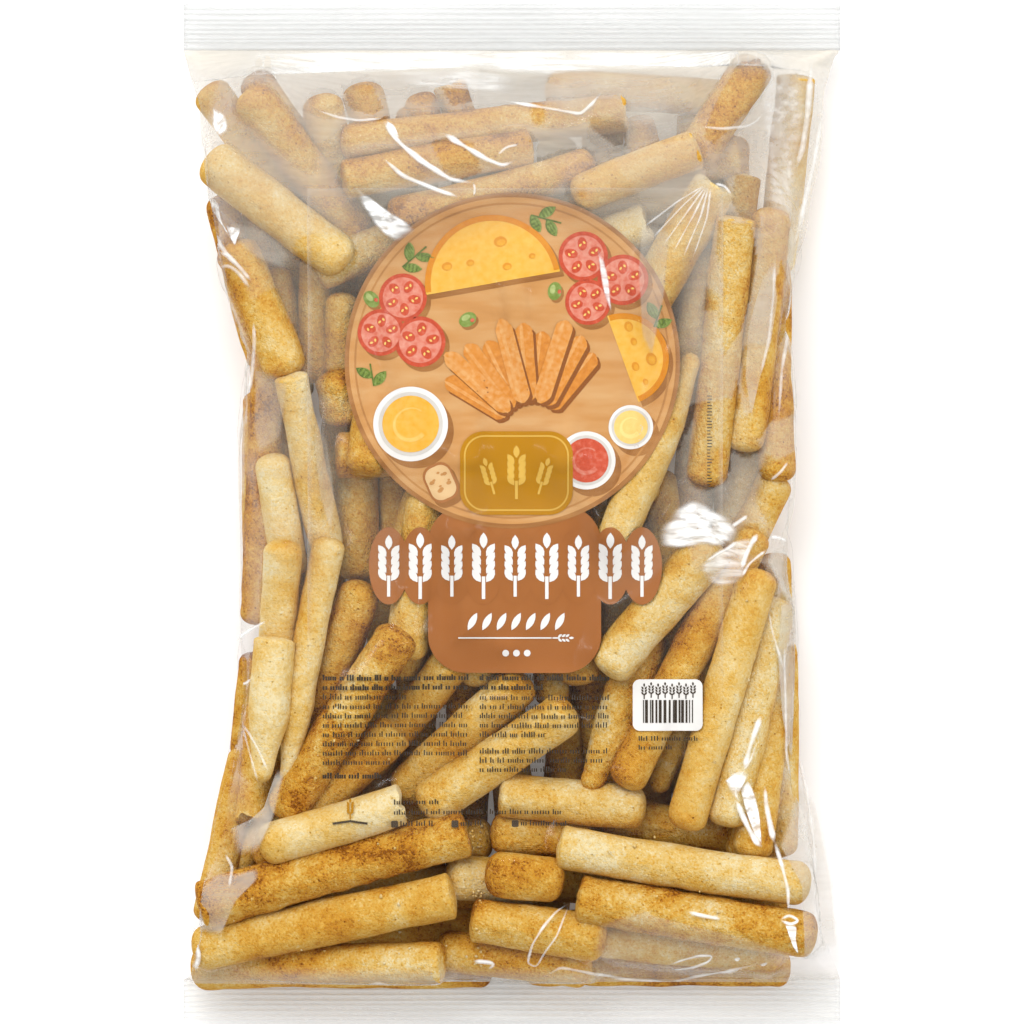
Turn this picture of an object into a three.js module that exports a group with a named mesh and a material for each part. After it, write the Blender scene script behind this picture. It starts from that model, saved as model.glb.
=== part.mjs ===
// A clear pillow bag of short breadsticks, lying on its back: one closed solid of the filled bag.
// The sticks of the heap are stacked here first, and the front film is stretched over them.
// Millimetres, +Z up, +Y towards the top seal, origin on the table under the middle of the bag.
import * as THREE from "three";

// ---- driving dimensions -------------------------------------------------------------------
const bagWidth = 210; // across a seal, which lies flat
const bagLength = 325.4; // over both seals
const topSeal = 15; // height of each crimped seal along Y
const bottomSeal = 13;
const filmStack = 1.2; // thickness where front and back film meet
const crimpDepth = 0.45; // ridge height of the crimping above the flat seal
const sealHeight = 12; // how high the seals float over the table
const sideHeight = 19; // how high the widest line of a full side runs
const waistRound = 8; // width over which a side turns in to the table where the bag is narrow
const cornerRound = 17; // the same at the flared corners, which hold less
const endRound = 26; // the same, at the ends

// ---- the heap of sticks -------------------------------------------------------------------
const layerRise = 13; // height that each layer of sticks adds
const fillHeight = 50.5; // highest that a stick's surface stands
const domeRise = 5; // how much higher the heap stands in the middle of the bag
const sideSink = 0.36; // share of its height that a stick loses at a side
const sinkRound = 30; // width over which it loses it
const onFloor = 0.3; // layer up to which a stick lies on the back film and loses none
const domedLayer = 1.5; // layer from which a stick takes the whole dome
const plainStick = 13.4; // thickness of the sticks of the floor and under the print
const sideInset = 0.8; // least gap of a stick and the outline
const endRoom = 0.25; // share of a stick's radius kept clear at an end that points at a side
const topRoom = 4; // gap of a stick's end and the top seal
const bottomRoom = 1; // the same at the bottom seal, besides half the stick's radius
const floorGap = 0.5; // gap under the lowest sticks
const coreInset = 0.8; // share of its radius by which a stick's straight core is shorter
const steepest = 0.14; // steepest slope of a stick
const layerPull = 0.02; // share of the way to its own layer that a stick goes each round
const stackRounds = 220;
const contactSpots = 7; // places along a stick where it can rest on another
const overlap = 0.98; // share of two radii within which sticks count as crossing

// ---- the front film -----------------------------------------------------------------------
const filmGap = 0.9; // distance of the film's middle and the sticks
const filmSag = 0.05; // how far free film sinks below the mean of its neighbours, each round
// The printed label is stiffer and bridges the sticks: a disc and a panel, falling off at the edge.
const bridge = {
  disc: [0, 47.8], discRadius: 58, panel: [0.8, -22], panelHalf: 36,
  height: 43, drop: 12, edge: 22,
};

// ---- mesh density -------------------------------------------------------------------------
const columns = 40;
const bodyRows = 48;
const crimpRows = 7; // rows on each seal, ridge and groove in turn
const reliefCell = 2.5; // grid on which the film is stretched over the sticks
const relaxRounds = 320;
const edgeCrowding = 0.35; // how much closer the columns stand at the sides

const halfWidth = bagWidth / 2;
const halfLength = bagLength / 2;
const bodyTop = halfLength - topSeal;
const bodyBottom = bottomSeal - halfLength;
const narrowest = 87; // half width at the waist

// ---- outline ------------------------------------------------------------------------------
// Half width of each side along the bag: [y, distance from the middle line], bottom to top.
const leftSide = [
  [bodyBottom, 105], [-130, 103], [-100, 97.6], [-82, 91.5], [-54, 88], [-15, 87.3],
  [23, 88.3], [44, 86.5], [74, 93], [101, 99.5], [122, 103], [bodyTop, 105],
];
const rightSide = [
  [bodyBottom, 105], [-124, 101.8], [-99, 96], [-80, 90.5], [-44, 91.8], [-12, 90.2],
  [23, 91.4], [47, 90], [71, 90.2], [100, 97], [119, 102.4], [bodyTop, 104.6],
];
// Where the film is nipped in between sticks.
const nips = [
  { side: "left", y: 51, depth: 3.4, reach: 6 },
  { side: "left", y: -66, depth: 2.6, reach: 6 },
  { side: "right", y: 61.3, depth: 3.6, reach: 5 },
  { side: "right", y: -3.4, depth: 2.2, reach: 5 },
  { side: "right", y: -84.3, depth: 1.4, reach: 4 },
];

// ---- the sticks ---------------------------------------------------------------------------
// One row a stick: x and y of one end, x and y of the other, thickness and layer, from 0 on the
// back film to 2 or more against the front.
const topSticks = [
  [-97.5, 136, -70.5, 99, 12.2, 1.1], [-83, 139, -57.5, 103, 12.8, 0.8],
  [-84, 133, -48.5, 87, 13.8, 1.7], [-61, 132.5, -51, 89.5, 12.8, 0.9],
  [-48.5, 137, -40.5, 101.5, 13.4, 0.8], [-102, 112.5, -52, 78, 14.7, 2],
  [-62, 76.5, -23, 91.5, 13.8, 1.9], [-54.5, 116.5, 36.5, 127, 12.5, 1.7],
  [-53.5, 105, 6.5, 115.5, 12.5, 1.9], [-39, 92.5, 26.5, 110, 12.8, 2.1], [-36, 88, 18, 102, 12.2, 1.9],
  [15.5, 91.5, 61.5, 104, 11.5, 1.6], [-30, 133.5, -23, 111, 10.9, 0.7],
  [-20, 137, -12, 113, 10.9, 0.9], [39.5, 126.5, 46, 101.5, 10.9, 0.8],
  [10.5, 135, 73, 131.5, 12.8, 0.5], [19, 99.5, 59, 115, 12.5, 2.1],
  [42.5, 109.5, 72.5, 113.5, 14.1, 1.4], [18.5, 82.5, 43.5, 91.5, 14.1, 1.9],
  [78.5, 144, 57, 111, 13.4, 1.3], [73.5, 107.5, 70.5, 78, 11.8, 1], [90.5, 139.5, 86, 75.5, 12.8, 1.2],
  [64.5, 104, 41, 64.5, 15.4, 2.1],
];
const leftSticks = [
  [-95.5, 101, -82.5, 46, 11.5, 1], [-93, 85.5, -70.5, 42.5, 14.1, 1.9],
  [-70, 43.5, -58.5, -13, 10.9, 2], [-76, 18.5, -70, -21, 12.2, 1.5], [-72, -9, -76, -60.5, 12.2, 2],
  [-75, -39.5, -79.5, -85.5, 13.1, 2.3], [-57.5, -8, -71.5, -85.5, 11.8, 1.9],
  [-47, -22, -67, -81, 13.4, 1.9], [-84, 50, -84, -36, 11.8, 1], [-84, -45, -87.5, -79.5, 10.9, 1],
  [-80, -60.5, -82.5, -98.5, 11.5, 1.3], [-87, -75.5, -96.5, -130.5, 11.2, 1],
  [-54, 69.5, -55, 42.5, 9.9, 1.2], [-56, 45, -53, 27.5, 13.8, 1.6], [-56, 18, -33.5, 18, 14.4, 1.6],
  [-50, 32, -48.5, -22, 13.4, 1.3], [-27, 8, -35, -23, 14.1, 1.4],
  [-22.5, -24.5, -38, -52.5, 14.1, 1.3], [-78.5, 53.5, -75.5, 13.5, 11.5, 0.8],
  [-62, 82, -62.5, 41, 11.5, 0.9], [-76, 78, -68, 35.5, 11.5, 0.7], [-80, 39, -80, -15.5, 12.2, 0.4],
];
const middleSticks = [
  [-34.5, -37, -73.5, -97, 14.7, 1.9], [-36.5, -68.5, -80, -113, 14.1, 1.8],
  [-17.5, -46, -47, -82, 13.1, 1.7], [5, -52.5, -36, -90.5, 13.8, 2], [19.5, -62, -29, -94, 14.7, 2.2],
  [-68, -88, -89.5, -115.5, 11.5, 0.9], [-80, -106, -34, -92, 13.8, 2.8],
];
const bottomSticks = [
  [-99, -125, -14, -101.5, 15, 2.4], [-101.5, -139, -18, -121, 14.7, 2.2],
  [-102, -149.5, -21.5, -142.5, 14.7, 1.9], [-24.5, -139, 25.5, -151, 14.1, 1.2],
  [-21, -115.5, 10.5, -118, 14.7, 1.4], [-8.5, -114, 16.5, -116.5, 14.7, 1.9],
  [-13, -129, 30, -135.5, 14.7, 2], [-4, -89.5, 42.5, -94, 14.1, 2],
  [-7, -101.5, 25.5, -104.5, 13.4, 1.4], [14.5, -105.5, 94.5, -118, 14.7, 2.5],
  [20.5, -122, 96.5, -134, 15, 2.3], [25.5, -135, 86, -140.5, 13.8, 1.8],
  [28, -95.5, 72.5, -103, 12.8, 1.3],
];
const rightSticks = [
  [64.5, -9, 29, -51, 15.7, 2.8], [44, -37.5, 24, -88, 13.8, 2.1], [77.5, -5.5, 35, -87, 13.1, 2.2],
  [62, -41, 46, -89, 13.8, 2], [86, 12, 61, -35.5, 12.8, 1.5], [78.5, -18, 54.5, -100.5, 13.1, 2.3],
  [84.5, -27, 67, -99.5, 13.4, 2.1], [88, -41, 76, -110, 12.8, 1.7], [91, -40, 85, -110, 11.5, 1.2],
  [89, -13, 89.5, -60.5, 10.9, 0.9], [42.5, -56, 39.5, -82.5, 10.9, 1.1],
  [78.5, -84.5, 73, -110.5, 11.5, 1.3], [70.5, 93.5, 61, 8, 13.1, 2.2],
  [82.5, 96.5, 73.5, 19, 12.5, 1.9], [80.5, 27.5, 67, -15.5, 12.2, 0.9], [83, 81, 85.5, 9.5, 11.8, 1.3],
  [57.5, 50, 31.5, -11.5, 13.8, 2.3], [62.5, 83.5, 55, 32, 11.8, 1.4],
];
// The floor of the heap: sticks along the bag in columns, turned a little in turn, and sticks
// across it at the bottom.
const floorRows = { columns: 10, reach: 72, ys: [-92, -4, 82], length: 80, stagger: 5, turn: 7 };
const crossRows = { ys: [-146, -132.5, -119, -105.5], spans: [[-91, -6], [3, 89]], lean: 1.5, layer: 0.8 };
// Upright sticks under the print: columns side by side, leaning left and right in turn.
const uprightRows = [
  { from: -42, to: 37, step: 15.6, y: 44, length: 74, lean: 5, layer: 1.8 },
  { from: -30, to: 19, step: 16, y: -24, length: 54, lean: 4, layer: 1.7 },
];

function floorSticks() {
  const { columns: count, reach, ys, length, stagger, turn } = floorRows;
  const rows = [];
  for (let i = 0; i < count; i++) {
    ys.forEach((y, j) => {
      const x = -reach + (2 * reach * i) / (count - 1);
      const middle = y + (i % 2 ? stagger : -stagger);
      const angle = THREE.MathUtils.degToRad(90 + turn * Math.sin(3 * i + 2 * j));
      const dx = (length / 2) * Math.cos(angle);
      const dy = (length / 2) * Math.sin(angle);
      rows.push([x - dx, middle - dy, x + dx, middle + dy, plainStick, 0]);
    });
  }
  return rows;
}

function crossSticks() {
  const { ys, spans, lean, layer } = crossRows;
  return ys.flatMap((y, i) => spans.map(([x0, x1]) => {
    const tilt = i % 2 ? lean : -lean;
    return [x0, y - tilt, x1, y + tilt, plainStick, layer];
  }));
}

function uprightSticks({ from, to, step, y, length, lean, layer }) {
  const rows = [];
  for (let x = from, way = 1; x <= to; x += step, way = -way) {
    const middle = y + lean * way;
    rows.push([x - lean * way, middle - length / 2, x + lean * way, middle + length / 2, plainStick, layer]);
  }
  return rows;
}

// ---- helpers ------------------------------------------------------------------------------
const clamp01 = (t) => Math.min(1, Math.max(0, t));
const smooth = (t) => t * t * (3 - 2 * t);

// A side's distance from the middle line at y: eased between its stations, less the nips.
function sideAt(name, y) {
  const stations = name === "left" ? leftSide : rightSide;
  let width = halfWidth;
  if (y > bodyBottom && y < bodyTop) {
    const next = stations.findIndex((station) => station[0] >= y);
    const [y0, w0] = stations[next - 1];
    const [y1, w1] = stations[next];
    width = w0 + (w1 - w0) * smooth((y - y0) / (y1 - y0));
  }
  for (const nip of nips) {
    if (nip.side === name) width -= nip.depth * Math.exp(-(((y - nip.y) / nip.reach) ** 2));
  }
  return width;
}

// Height of the line where front and back film meet: low at the seals, higher along the sides.
function edgeHeight(y) {
  const inset = Math.min(bodyTop - y, y - bodyBottom);
  return sealHeight + (sideHeight - sealHeight) * smooth(clamp01(inset / (2 * endRound)));
}

// How full the bag is at a point, 0 on the outline to 1 inside, turning in along quarter circles.
function fullness(x, y, round) {
  const quarter = (t) => Math.sqrt(1 - (1 - clamp01(t)) ** 2);
  const fromSide = Math.min(sideAt("right", y) - x, sideAt("left", y) + x);
  const fromEnd = Math.min(bodyTop - y, y - bodyBottom);
  return quarter(fromSide / round) * quarter(fromEnd / endRound);
}

// ---- stacking -----------------------------------------------------------------------------
// How much higher the heap stands over a point in the middle of the bag.
function dome(x, y) {
  return domeRise * (1 - (x / halfWidth) ** 2) * (1 - (y / halfLength) ** 2);
}

// An end of a stick, moved in until the stick is clear of the outline.
function clearEnd([x, y], radius, alongY) {
  const clear = sideInset + radius * Math.max(Math.abs(alongY), endRoom);
  return new THREE.Vector2(
    Math.min(sideAt("right", y) - clear, Math.max(clear - sideAt("left", y), x)),
    Math.min(bodyTop - topRoom, Math.max(bodyBottom + radius / 2 + bottomRoom, y)),
  );
}

// A row as a stick: its ends, the ends of its straight core and the heights these want.
function placeStick([x0, y0, x1, y1, thickness, layer]) {
  const radius = thickness / 2;
  const alongY = (y1 - y0) / Math.hypot(x1 - x0, y1 - y0);
  const a = clearEnd([x0, y0], radius, alongY);
  const b = clearEnd([x1, y1], radius, alongY);
  const length = a.distanceTo(b);
  const axis = b.clone().sub(a).divideScalar(length);
  const coreA = a.clone().addScaledVector(axis, radius * coreInset);
  const coreB = b.clone().addScaledVector(axis, -radius * coreInset);
  const wanted = ({ x, y }) => {
    const sunk = layer > onFloor ? 1 - sideSink * (1 - fullness(x, y, sinkRound)) : 1;
    return (radius + layer * layerRise) * sunk + dome(x, y) * Math.min(layer / domedLayer, 1) + floorGap;
  };
  const goal = [wanted(coreA), wanted(coreB)];
  const middle = coreA.clone().lerp(coreB, 0.5);
  const half = coreA.distanceTo(coreB) / 2;
  return { radius, length, axis, a, b, middle, half, goal, z: [...goal] };
}

// Where two sticks cross: how far along each, and how far apart in height they must be.
function findContacts(sticks) {
  const contacts = [];
  sticks.forEach((upper, i) => {
    for (const lower of sticks.slice(0, i)) {
      const reach = upper.radius + lower.radius;
      if (upper.middle.distanceTo(lower.middle) > upper.half + lower.half + reach) continue;
      for (let spot = 0; spot < contactSpots; spot++) {
        const onUpper = spot / (contactSpots - 1);
        const point = upper.middle.clone().addScaledVector(upper.axis, (2 * onUpper - 1) * upper.half);
        const beside = point.clone().sub(lower.middle).dot(lower.axis);
        const t = THREE.MathUtils.clamp(beside, -lower.half, lower.half);
        const apart = point.distanceTo(lower.middle.clone().addScaledVector(lower.axis, t));
        if (apart >= reach * overlap) continue;
        const onLower = (t / lower.half + 1) / 2;
        contacts.push({ upper, lower, onUpper, onLower, lift: Math.sqrt(reach ** 2 - apart ** 2) });
      }
    }
  });
  return contacts;
}

// Each stick keeps its place in plan. Its two ends find their height by many small rounds:
// crossing sticks push each other apart, and each is drawn to the height of its layer.
function stackSticks(rows) {
  const sticks = [...rows].sort((p, q) => p[5] - q[5]).map(placeStick);
  const contacts = findContacts(sticks);
  const heightAt = (stick, t) => THREE.MathUtils.lerp(stick.z[0], stick.z[1], t);
  for (let round = 0; round < stackRounds; round++) {
    for (const stick of sticks) {
      stick.moves = [0, 0];
      stick.shares = [0, 0];
    }
    for (const { upper, lower, onUpper, onLower, lift } of contacts) {
      const push = (lift - heightAt(upper, onUpper) + heightAt(lower, onLower)) / 2;
      if (push <= 0) continue;
      for (const [stick, t, way] of [[upper, onUpper, 1], [lower, onLower, -1]]) {
        [1 - t, t].forEach((weight, end) => {
          stick.moves[end] += way * push * weight;
          stick.shares[end] += weight;
        });
      }
    }
    for (const stick of sticks) {
      const [z0, z1] = stick.z.map((z, end) => {
        return z + stick.moves[end] / Math.max(stick.shares[end], 1) + (stick.goal[end] - z) * layerPull;
      });
      const rise = stick.length * steepest;
      const tilt = THREE.MathUtils.clamp((z1 - z0) / 2, -rise, rise);
      const lowest = stick.radius + floorGap;
      const highest = fillHeight - stick.radius;
      stick.z = [-tilt, tilt].map((part) => THREE.MathUtils.clamp((z0 + z1) / 2 + part, lowest, highest));
    }
  }
  return sticks;
}

// ---- front film ---------------------------------------------------------------------------
// Top of one stick over a point with the film's gap, or 0 where the point is beside it.
function stickTop({ radius, length, axis, a, z }, x, y) {
  const along = (x - a.x) * axis.x + (y - a.y) * axis.y;
  const inner = THREE.MathUtils.clamp(along, radius * coreInset, length - radius * coreInset);
  const aside = Math.hypot(x - a.x - axis.x * inner, y - a.y - axis.y * inner);
  const reach = radius + filmGap;
  if (aside >= reach) return 0;
  return THREE.MathUtils.lerp(z[0], z[1], inner / length) + Math.sqrt(reach ** 2 - aside ** 2);
}

// Height of the stiff label over a point, or 0 beside it.
function bridgeTop(x, y) {
  const disc = bridge.discRadius - Math.hypot(x - bridge.disc[0], y - bridge.disc[1]);
  const fromPanel = Math.max(Math.abs(x - bridge.panel[0]), Math.abs(y - bridge.panel[1]));
  const depth = Math.max(disc, bridge.panelHalf - fromPanel);
  if (depth <= 0) return 0;
  return bridge.height - bridge.drop * (1 - smooth(clamp01(depth / bridge.edge))) + filmGap;
}

// The back film: flat on the table, turned up to the outline, and more gently where a side flares.
function backHeight(x, y) {
  const side = sideAt(x < 0 ? "left" : "right", y);
  const flare = clamp01((side - narrowest) / (halfWidth - narrowest));
  return edgeHeight(y) * (1 - fullness(x, y, THREE.MathUtils.lerp(waistRound, cornerRound, flare)));
}

// The film is stretched over the sticks on a square grid: each free point settles to the mean of
// its neighbours, and none sinks below what lies under it.
function stretchFilm(sticks) {
  const nx = Math.ceil(bagWidth / reliefCell) + 1;
  const ny = Math.ceil(bagLength / reliefCell) + 1;
  const under = new Float64Array(nx * ny);
  const held = new Uint8Array(nx * ny);
  for (let j = 0; j < ny; j++) {
    for (let i = 0; i < nx; i++) {
      const x = i * reliefCell - halfWidth;
      const y = j * reliefCell - halfLength;
      const k = j * nx + i;
      const inside = x < sideAt("right", y) && x > -sideAt("left", y) && y > bodyBottom && y < bodyTop;
      held[k] = inside ? 0 : 1;
      under[k] = inside ? backHeight(x, y) + filmStack : edgeHeight(y);
      if (inside) for (const stick of sticks) under[k] = Math.max(under[k], stickTop(stick, x, y));
      if (inside) under[k] = Math.max(under[k], bridgeTop(x, y));
    }
  }
  const film = Float64Array.from(under);
  for (let round = 0; round < relaxRounds; round++) {
    for (let k = nx; k < nx * (ny - 1); k++) {
      if (held[k]) continue;
      const mean = (film[k - 1] + film[k + 1] + film[k - nx] + film[k + nx]) / 4;
      film[k] = Math.max(under[k], mean - filmSag);
    }
  }
  return (x, y) => {
    const gx = Math.max(0, (x + halfWidth) / reliefCell);
    const gy = Math.max(0, (y + halfLength) / reliefCell);
    const i = Math.min(nx - 2, Math.floor(gx));
    const j = Math.min(ny - 2, Math.floor(gy));
    const low = THREE.MathUtils.lerp(film[j * nx + i], film[j * nx + i + 1], gx - i);
    const high = THREE.MathUtils.lerp(film[(j + 1) * nx + i], film[(j + 1) * nx + i + 1], gx - i);
    return THREE.MathUtils.lerp(low, high, gy - j);
  };
}

// ---- the bag's mesh -----------------------------------------------------------------------
// Y of every row, bottom to top, with the height that its crimp adds.
function rowList() {
  const rows = [];
  const crimp = (step) => (step % 2 ? crimpDepth : 0);
  for (let k = 0; k < crimpRows; k++) rows.push([-halfLength + (bottomSeal * k) / crimpRows, crimp(k)]);
  for (let k = 0; k <= bodyRows; k++) rows.push([bodyBottom + ((bodyTop - bodyBottom) * k) / bodyRows, 0]);
  for (let k = 1; k <= crimpRows; k++) rows.push([bodyTop + (topSeal * k) / crimpRows, crimp(crimpRows - k)]);
  return rows;
}

function bagGeometry() {
  const heap = [
    ...floorSticks(), ...crossSticks(), ...uprightRows.flatMap(uprightSticks),
    ...topSticks, ...leftSticks, ...middleSticks, ...bottomSticks, ...rightSticks,
  ];
  const filmOver = stretchFilm(stackSticks(heap));
  const rows = rowList();
  const front = [];
  const back = [];
  for (const [y, crimp] of rows) {
    const left = -sideAt("left", y);
    const right = sideAt("right", y);
    const edge = edgeHeight(y);
    for (let i = 0; i <= columns; i++) {
      const t = (2 * i) / columns - 1;
      const spread = t + (edgeCrowding * Math.sin(Math.PI * t)) / Math.PI;
      const x = left + ((right - left) * (spread + 1)) / 2;
      const open = i > 0 && i < columns && y > bodyBottom && y < bodyTop; // front and back apart
      const top = open ? filmOver(x, y) : edge;
      const bottom = open ? backHeight(x, y) : edge - filmStack / 2 + crimp;
      front.push([x, y, top + filmStack / 2 + crimp]);
      back.push([x, y, bottom]);
    }
  }
  const stride = columns + 1;
  const offset = front.length;
  const index = [];
  const quad = (a, b, c, d) => index.push(a, b, c, a, c, d);
  for (let j = 0; j < rows.length - 1; j++) {
    for (let i = 0; i < columns; i++) {
      const k = j * stride + i;
      quad(k, k + 1, k + stride + 1, k + stride);
      quad(offset + k, offset + k + stride, offset + k + stride + 1, offset + k + 1);
    }
  }
  const rimQuad = (from, to) => quad(offset + from, offset + to, to, from);
  const lastRow = (rows.length - 1) * stride;
  for (let i = 0; i < columns; i++) {
    rimQuad(i, i + 1);
    rimQuad(lastRow + i + 1, lastRow + i);
  }
  for (let j = 0; j < rows.length - 1; j++) {
    rimQuad(j * stride + columns, (j + 1) * stride + columns);
    rimQuad((j + 1) * stride, j * stride);
  }
  const geometry = new THREE.BufferGeometry();
  geometry.setAttribute("position", new THREE.Float32BufferAttribute([...front, ...back].flat(), 3));
  geometry.setIndex(index);
  geometry.computeVertexNormals();
  return geometry;
}

const film = new THREE.MeshStandardMaterial({ color: 0xdcb468, roughness: 0.25, metalness: 0 });
const bag = new THREE.Mesh(bagGeometry(), film);
bag.name = "bag";

const part = new THREE.Group();
part.add(bag);
export default part;
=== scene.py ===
import itertools
import math

import bpy
import numpy as np
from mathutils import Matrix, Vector
from mathutils.bvhtree import BVHTree


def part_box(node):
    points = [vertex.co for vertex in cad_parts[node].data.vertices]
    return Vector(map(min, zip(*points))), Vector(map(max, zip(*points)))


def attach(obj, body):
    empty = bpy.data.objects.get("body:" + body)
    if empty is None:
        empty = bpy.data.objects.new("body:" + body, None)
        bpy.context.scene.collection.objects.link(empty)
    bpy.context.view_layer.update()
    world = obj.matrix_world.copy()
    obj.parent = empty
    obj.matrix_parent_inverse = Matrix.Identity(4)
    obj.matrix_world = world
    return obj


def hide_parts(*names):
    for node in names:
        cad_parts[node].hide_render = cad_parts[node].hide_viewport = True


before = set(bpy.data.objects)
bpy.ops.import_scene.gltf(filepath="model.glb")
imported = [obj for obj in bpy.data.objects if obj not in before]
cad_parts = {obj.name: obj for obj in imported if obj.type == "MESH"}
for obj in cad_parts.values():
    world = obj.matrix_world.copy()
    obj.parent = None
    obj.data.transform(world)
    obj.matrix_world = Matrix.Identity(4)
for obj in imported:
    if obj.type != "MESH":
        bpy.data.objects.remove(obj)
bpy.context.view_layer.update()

# A clear pillow bag of short breadsticks, lying on its back. Everything is worked out in
# millimetres, +Z up and +Y towards the top seal, and turned to metres when a mesh is made.
toMetres = 0.001
low, high = (np.array(corner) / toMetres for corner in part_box("bag"))

bag = {
    "halfWidth": (high[0] - low[0]) / 2,
    "halfLength": (high[1] - low[1]) / 2,
    "height": high[2] - low[2],
    "topSeal": 15.0,        # height of each crimped seal along Y
    "bottomSeal": 13.0,
    "sealHeight": 12.0,     # how high the seals float over the table
    "sideHeight": 19.0,     # how high the widest line of a full side runs
    "endRound": 26.0,       # how far from a seal the fill reaches its full height
    "sideRound": 20.0,      # the same, from a side
    "dome": 5.0,            # how much higher the fill stands in the middle
    "layerRise": 13.0,      # height that each layer of sticks adds
    "sideSink": 0.36,       # share of its height that a stick loses where the side turns down
    "filmRoom": 2.2,        # height over the highest stick that the film takes
}
bodyTop = bag["halfLength"] - bag["topSeal"]
bodyBottom = bag["bottomSeal"] - bag["halfLength"]

# Half width of each side along the bag: (y, distance from the middle line), bottom to top.
leftSide = [
    (bodyBottom, 105), (-130, 103), (-100, 97.6), (-82, 91.5), (-54, 88), (-15, 87.3),
    (23, 88.3), (44, 86.5), (74, 93), (101, 99.5), (122, 103), (bodyTop, 105),
]
rightSide = [
    (bodyBottom, 105), (-124, 101.8), (-99, 96), (-80, 90.5), (-44, 91.8), (-12, 90.2),
    (23, 91.4), (47, 90), (71, 90.2), (100, 97), (119, 102.4), (bodyTop, 104.6),
]
# Where the film is nipped in between sticks: (side, y, depth, reach).
nips = [(-1, 51, 3.4, 6), (-1, -66, 2.6, 6), (1, 61.3, 3.6, 5), (1, -3.4, 2.2, 5), (1, -84.3, 1.4, 4)]


def smooth(t):
    t = np.clip(t, 0, 1)
    return t * t * (3 - 2 * t)


def sideAt(side, y):
    # distance of the bag's side from the middle line, side is -1 on the left and 1 on the right
    stations = np.array(leftSide if side < 0 else rightSide, float)
    y = np.asarray(y, float)
    k = np.clip(np.searchsorted(stations[:, 0], y) - 1, 0, len(stations) - 2)
    y0, w0 = stations[k, 0], stations[k, 1]
    y1, w1 = stations[k + 1, 0], stations[k + 1, 1]
    width = w0 + (w1 - w0) * smooth((y - y0) / (y1 - y0))
    for nipSide, nipY, depth, reach in nips:
        if nipSide == side:
            width = width - depth * np.exp(-((y - nipY) / reach) ** 2)
    return width


def edgeHeight(y):
    inset = np.minimum(bodyTop - y, y - bodyBottom)
    rise = bag["sideHeight"] - bag["sealHeight"]
    return bag["sealHeight"] + rise * smooth(inset / (2 * bag["endRound"]))


def fullness(x, y, sideRound):
    # 0 on the outline, 1 where the bag is full, turning in along quarter circles
    fromSide = np.minimum(sideAt(1, y) - x, sideAt(-1, y) + x)
    fromEnd = np.minimum(bodyTop - y, y - bodyBottom)
    shares = (fromSide / sideRound, fromEnd / bag["endRound"])
    across, lengthwise = (np.sqrt(1 - (1 - np.clip(t, 0, 1)) ** 2) for t in shares)
    return across * lengthwise


lumpField = {"cells": 32, "origin": 400.0}   # cells before it repeats, and a start that keeps them positive


def lumps(points, size, seed):
    # smooth random field of about -1..1, its lumps `size` millimetres across
    cells = lumpField["cells"]
    table = np.random.default_rng(seed).uniform(-1, 1, (cells, cells, cells))
    place = np.asarray(points) / size + lumpField["origin"]
    cell = np.floor(place).astype(int)
    part = place - cell
    part = part * part * (3 - 2 * part)
    total = 0
    for corner in itertools.product((0, 1), repeat=3):
        share = np.prod(np.where(np.array(corner) > 0, part, 1 - part), axis=-1)
        i = (cell + corner) % cells
        total = total + share * table[i[..., 0], i[..., 1], i[..., 2]]
    return total


# One row a stick: column and row of one end, the same of the other and its thickness, all in cells
# of a drawing grid, then its layer (0 lies on the back film, 2 presses on the front), toast (0 pale
# to 1 brown) and a code. Its first letters are the two ends: r round, s square cut, n narrowing,
# b broken. A c behind them is a crumbly crust, and without a code both ends are round.
drawingGrid = {"cell": 0.32, "column": 512, "row": 511.5}   # millimetres, and the cell of the middle


def fromGrid(column, row):
    cell = drawingGrid["cell"]
    return (column - drawingGrid["column"]) * cell, (drawingGrid["row"] - row) * cell


def gridLine(cells):
    # points in millimetres from columns and rows by turns
    return np.array([fromGrid(*cell) for cell in zip(cells[::2], cells[1::2])])


def halves(value):
    # places are kept to half a millimetre
    return round(value * 2) / 2


topSticks = [
    (207, 86, 292, 202, 38, 1.1, 0.35), (252, 77, 333, 190, 40, 0.8, 0.7),
    (249, 96, 360, 240, 43, 1.7, 0.55), (321, 98, 352, 232, 40, 0.9, 0.5),
    (360, 84, 386, 195, 42, 0.8, 0.52), (193, 160, 350, 268, 46, 2, 0.22),
    (318, 272, 440, 226, 43, 1.9, 0.5, "ssc"), (342, 147, 626, 114, 39, 1.7, 0.66, "rb"),
    (345, 183, 533, 150, 39, 1.9, 0.58, "ss"), (390, 222, 595, 167, 40, 2.1, 0.6),
    (400, 236, 568, 192, 38, 1.9, 0.4, "rs"), (560, 226, 704, 187, 36, 1.6, 0.3, "rs"),
    (418, 95, 440, 165, 34, 0.7, 0.65), (450, 84, 474, 158, 34, 0.9, 0.6, "br"),
    (635, 116, 655, 195, 34, 0.8, 0.65), (545, 90, 740, 101, 40, 0.5, 0.5),
    (572, 201, 697, 152, 39, 2.1, 0.25, "rs"), (645, 170, 738, 157, 44, 1.4, 0.5, "rs"),
    (570, 254, 648, 226, 44, 1.9, 0.15, "bb"), (757, 62, 690, 164, 42, 1.5, 0.55),
    (741, 176, 733, 268, 37, 1, 0.55, "sr"), (795, 76, 781, 275, 40, 1.2, 0.2, "sr"),
    (713, 186, 640, 310, 48, 2.1, 0.2, "br"),
]
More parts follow.
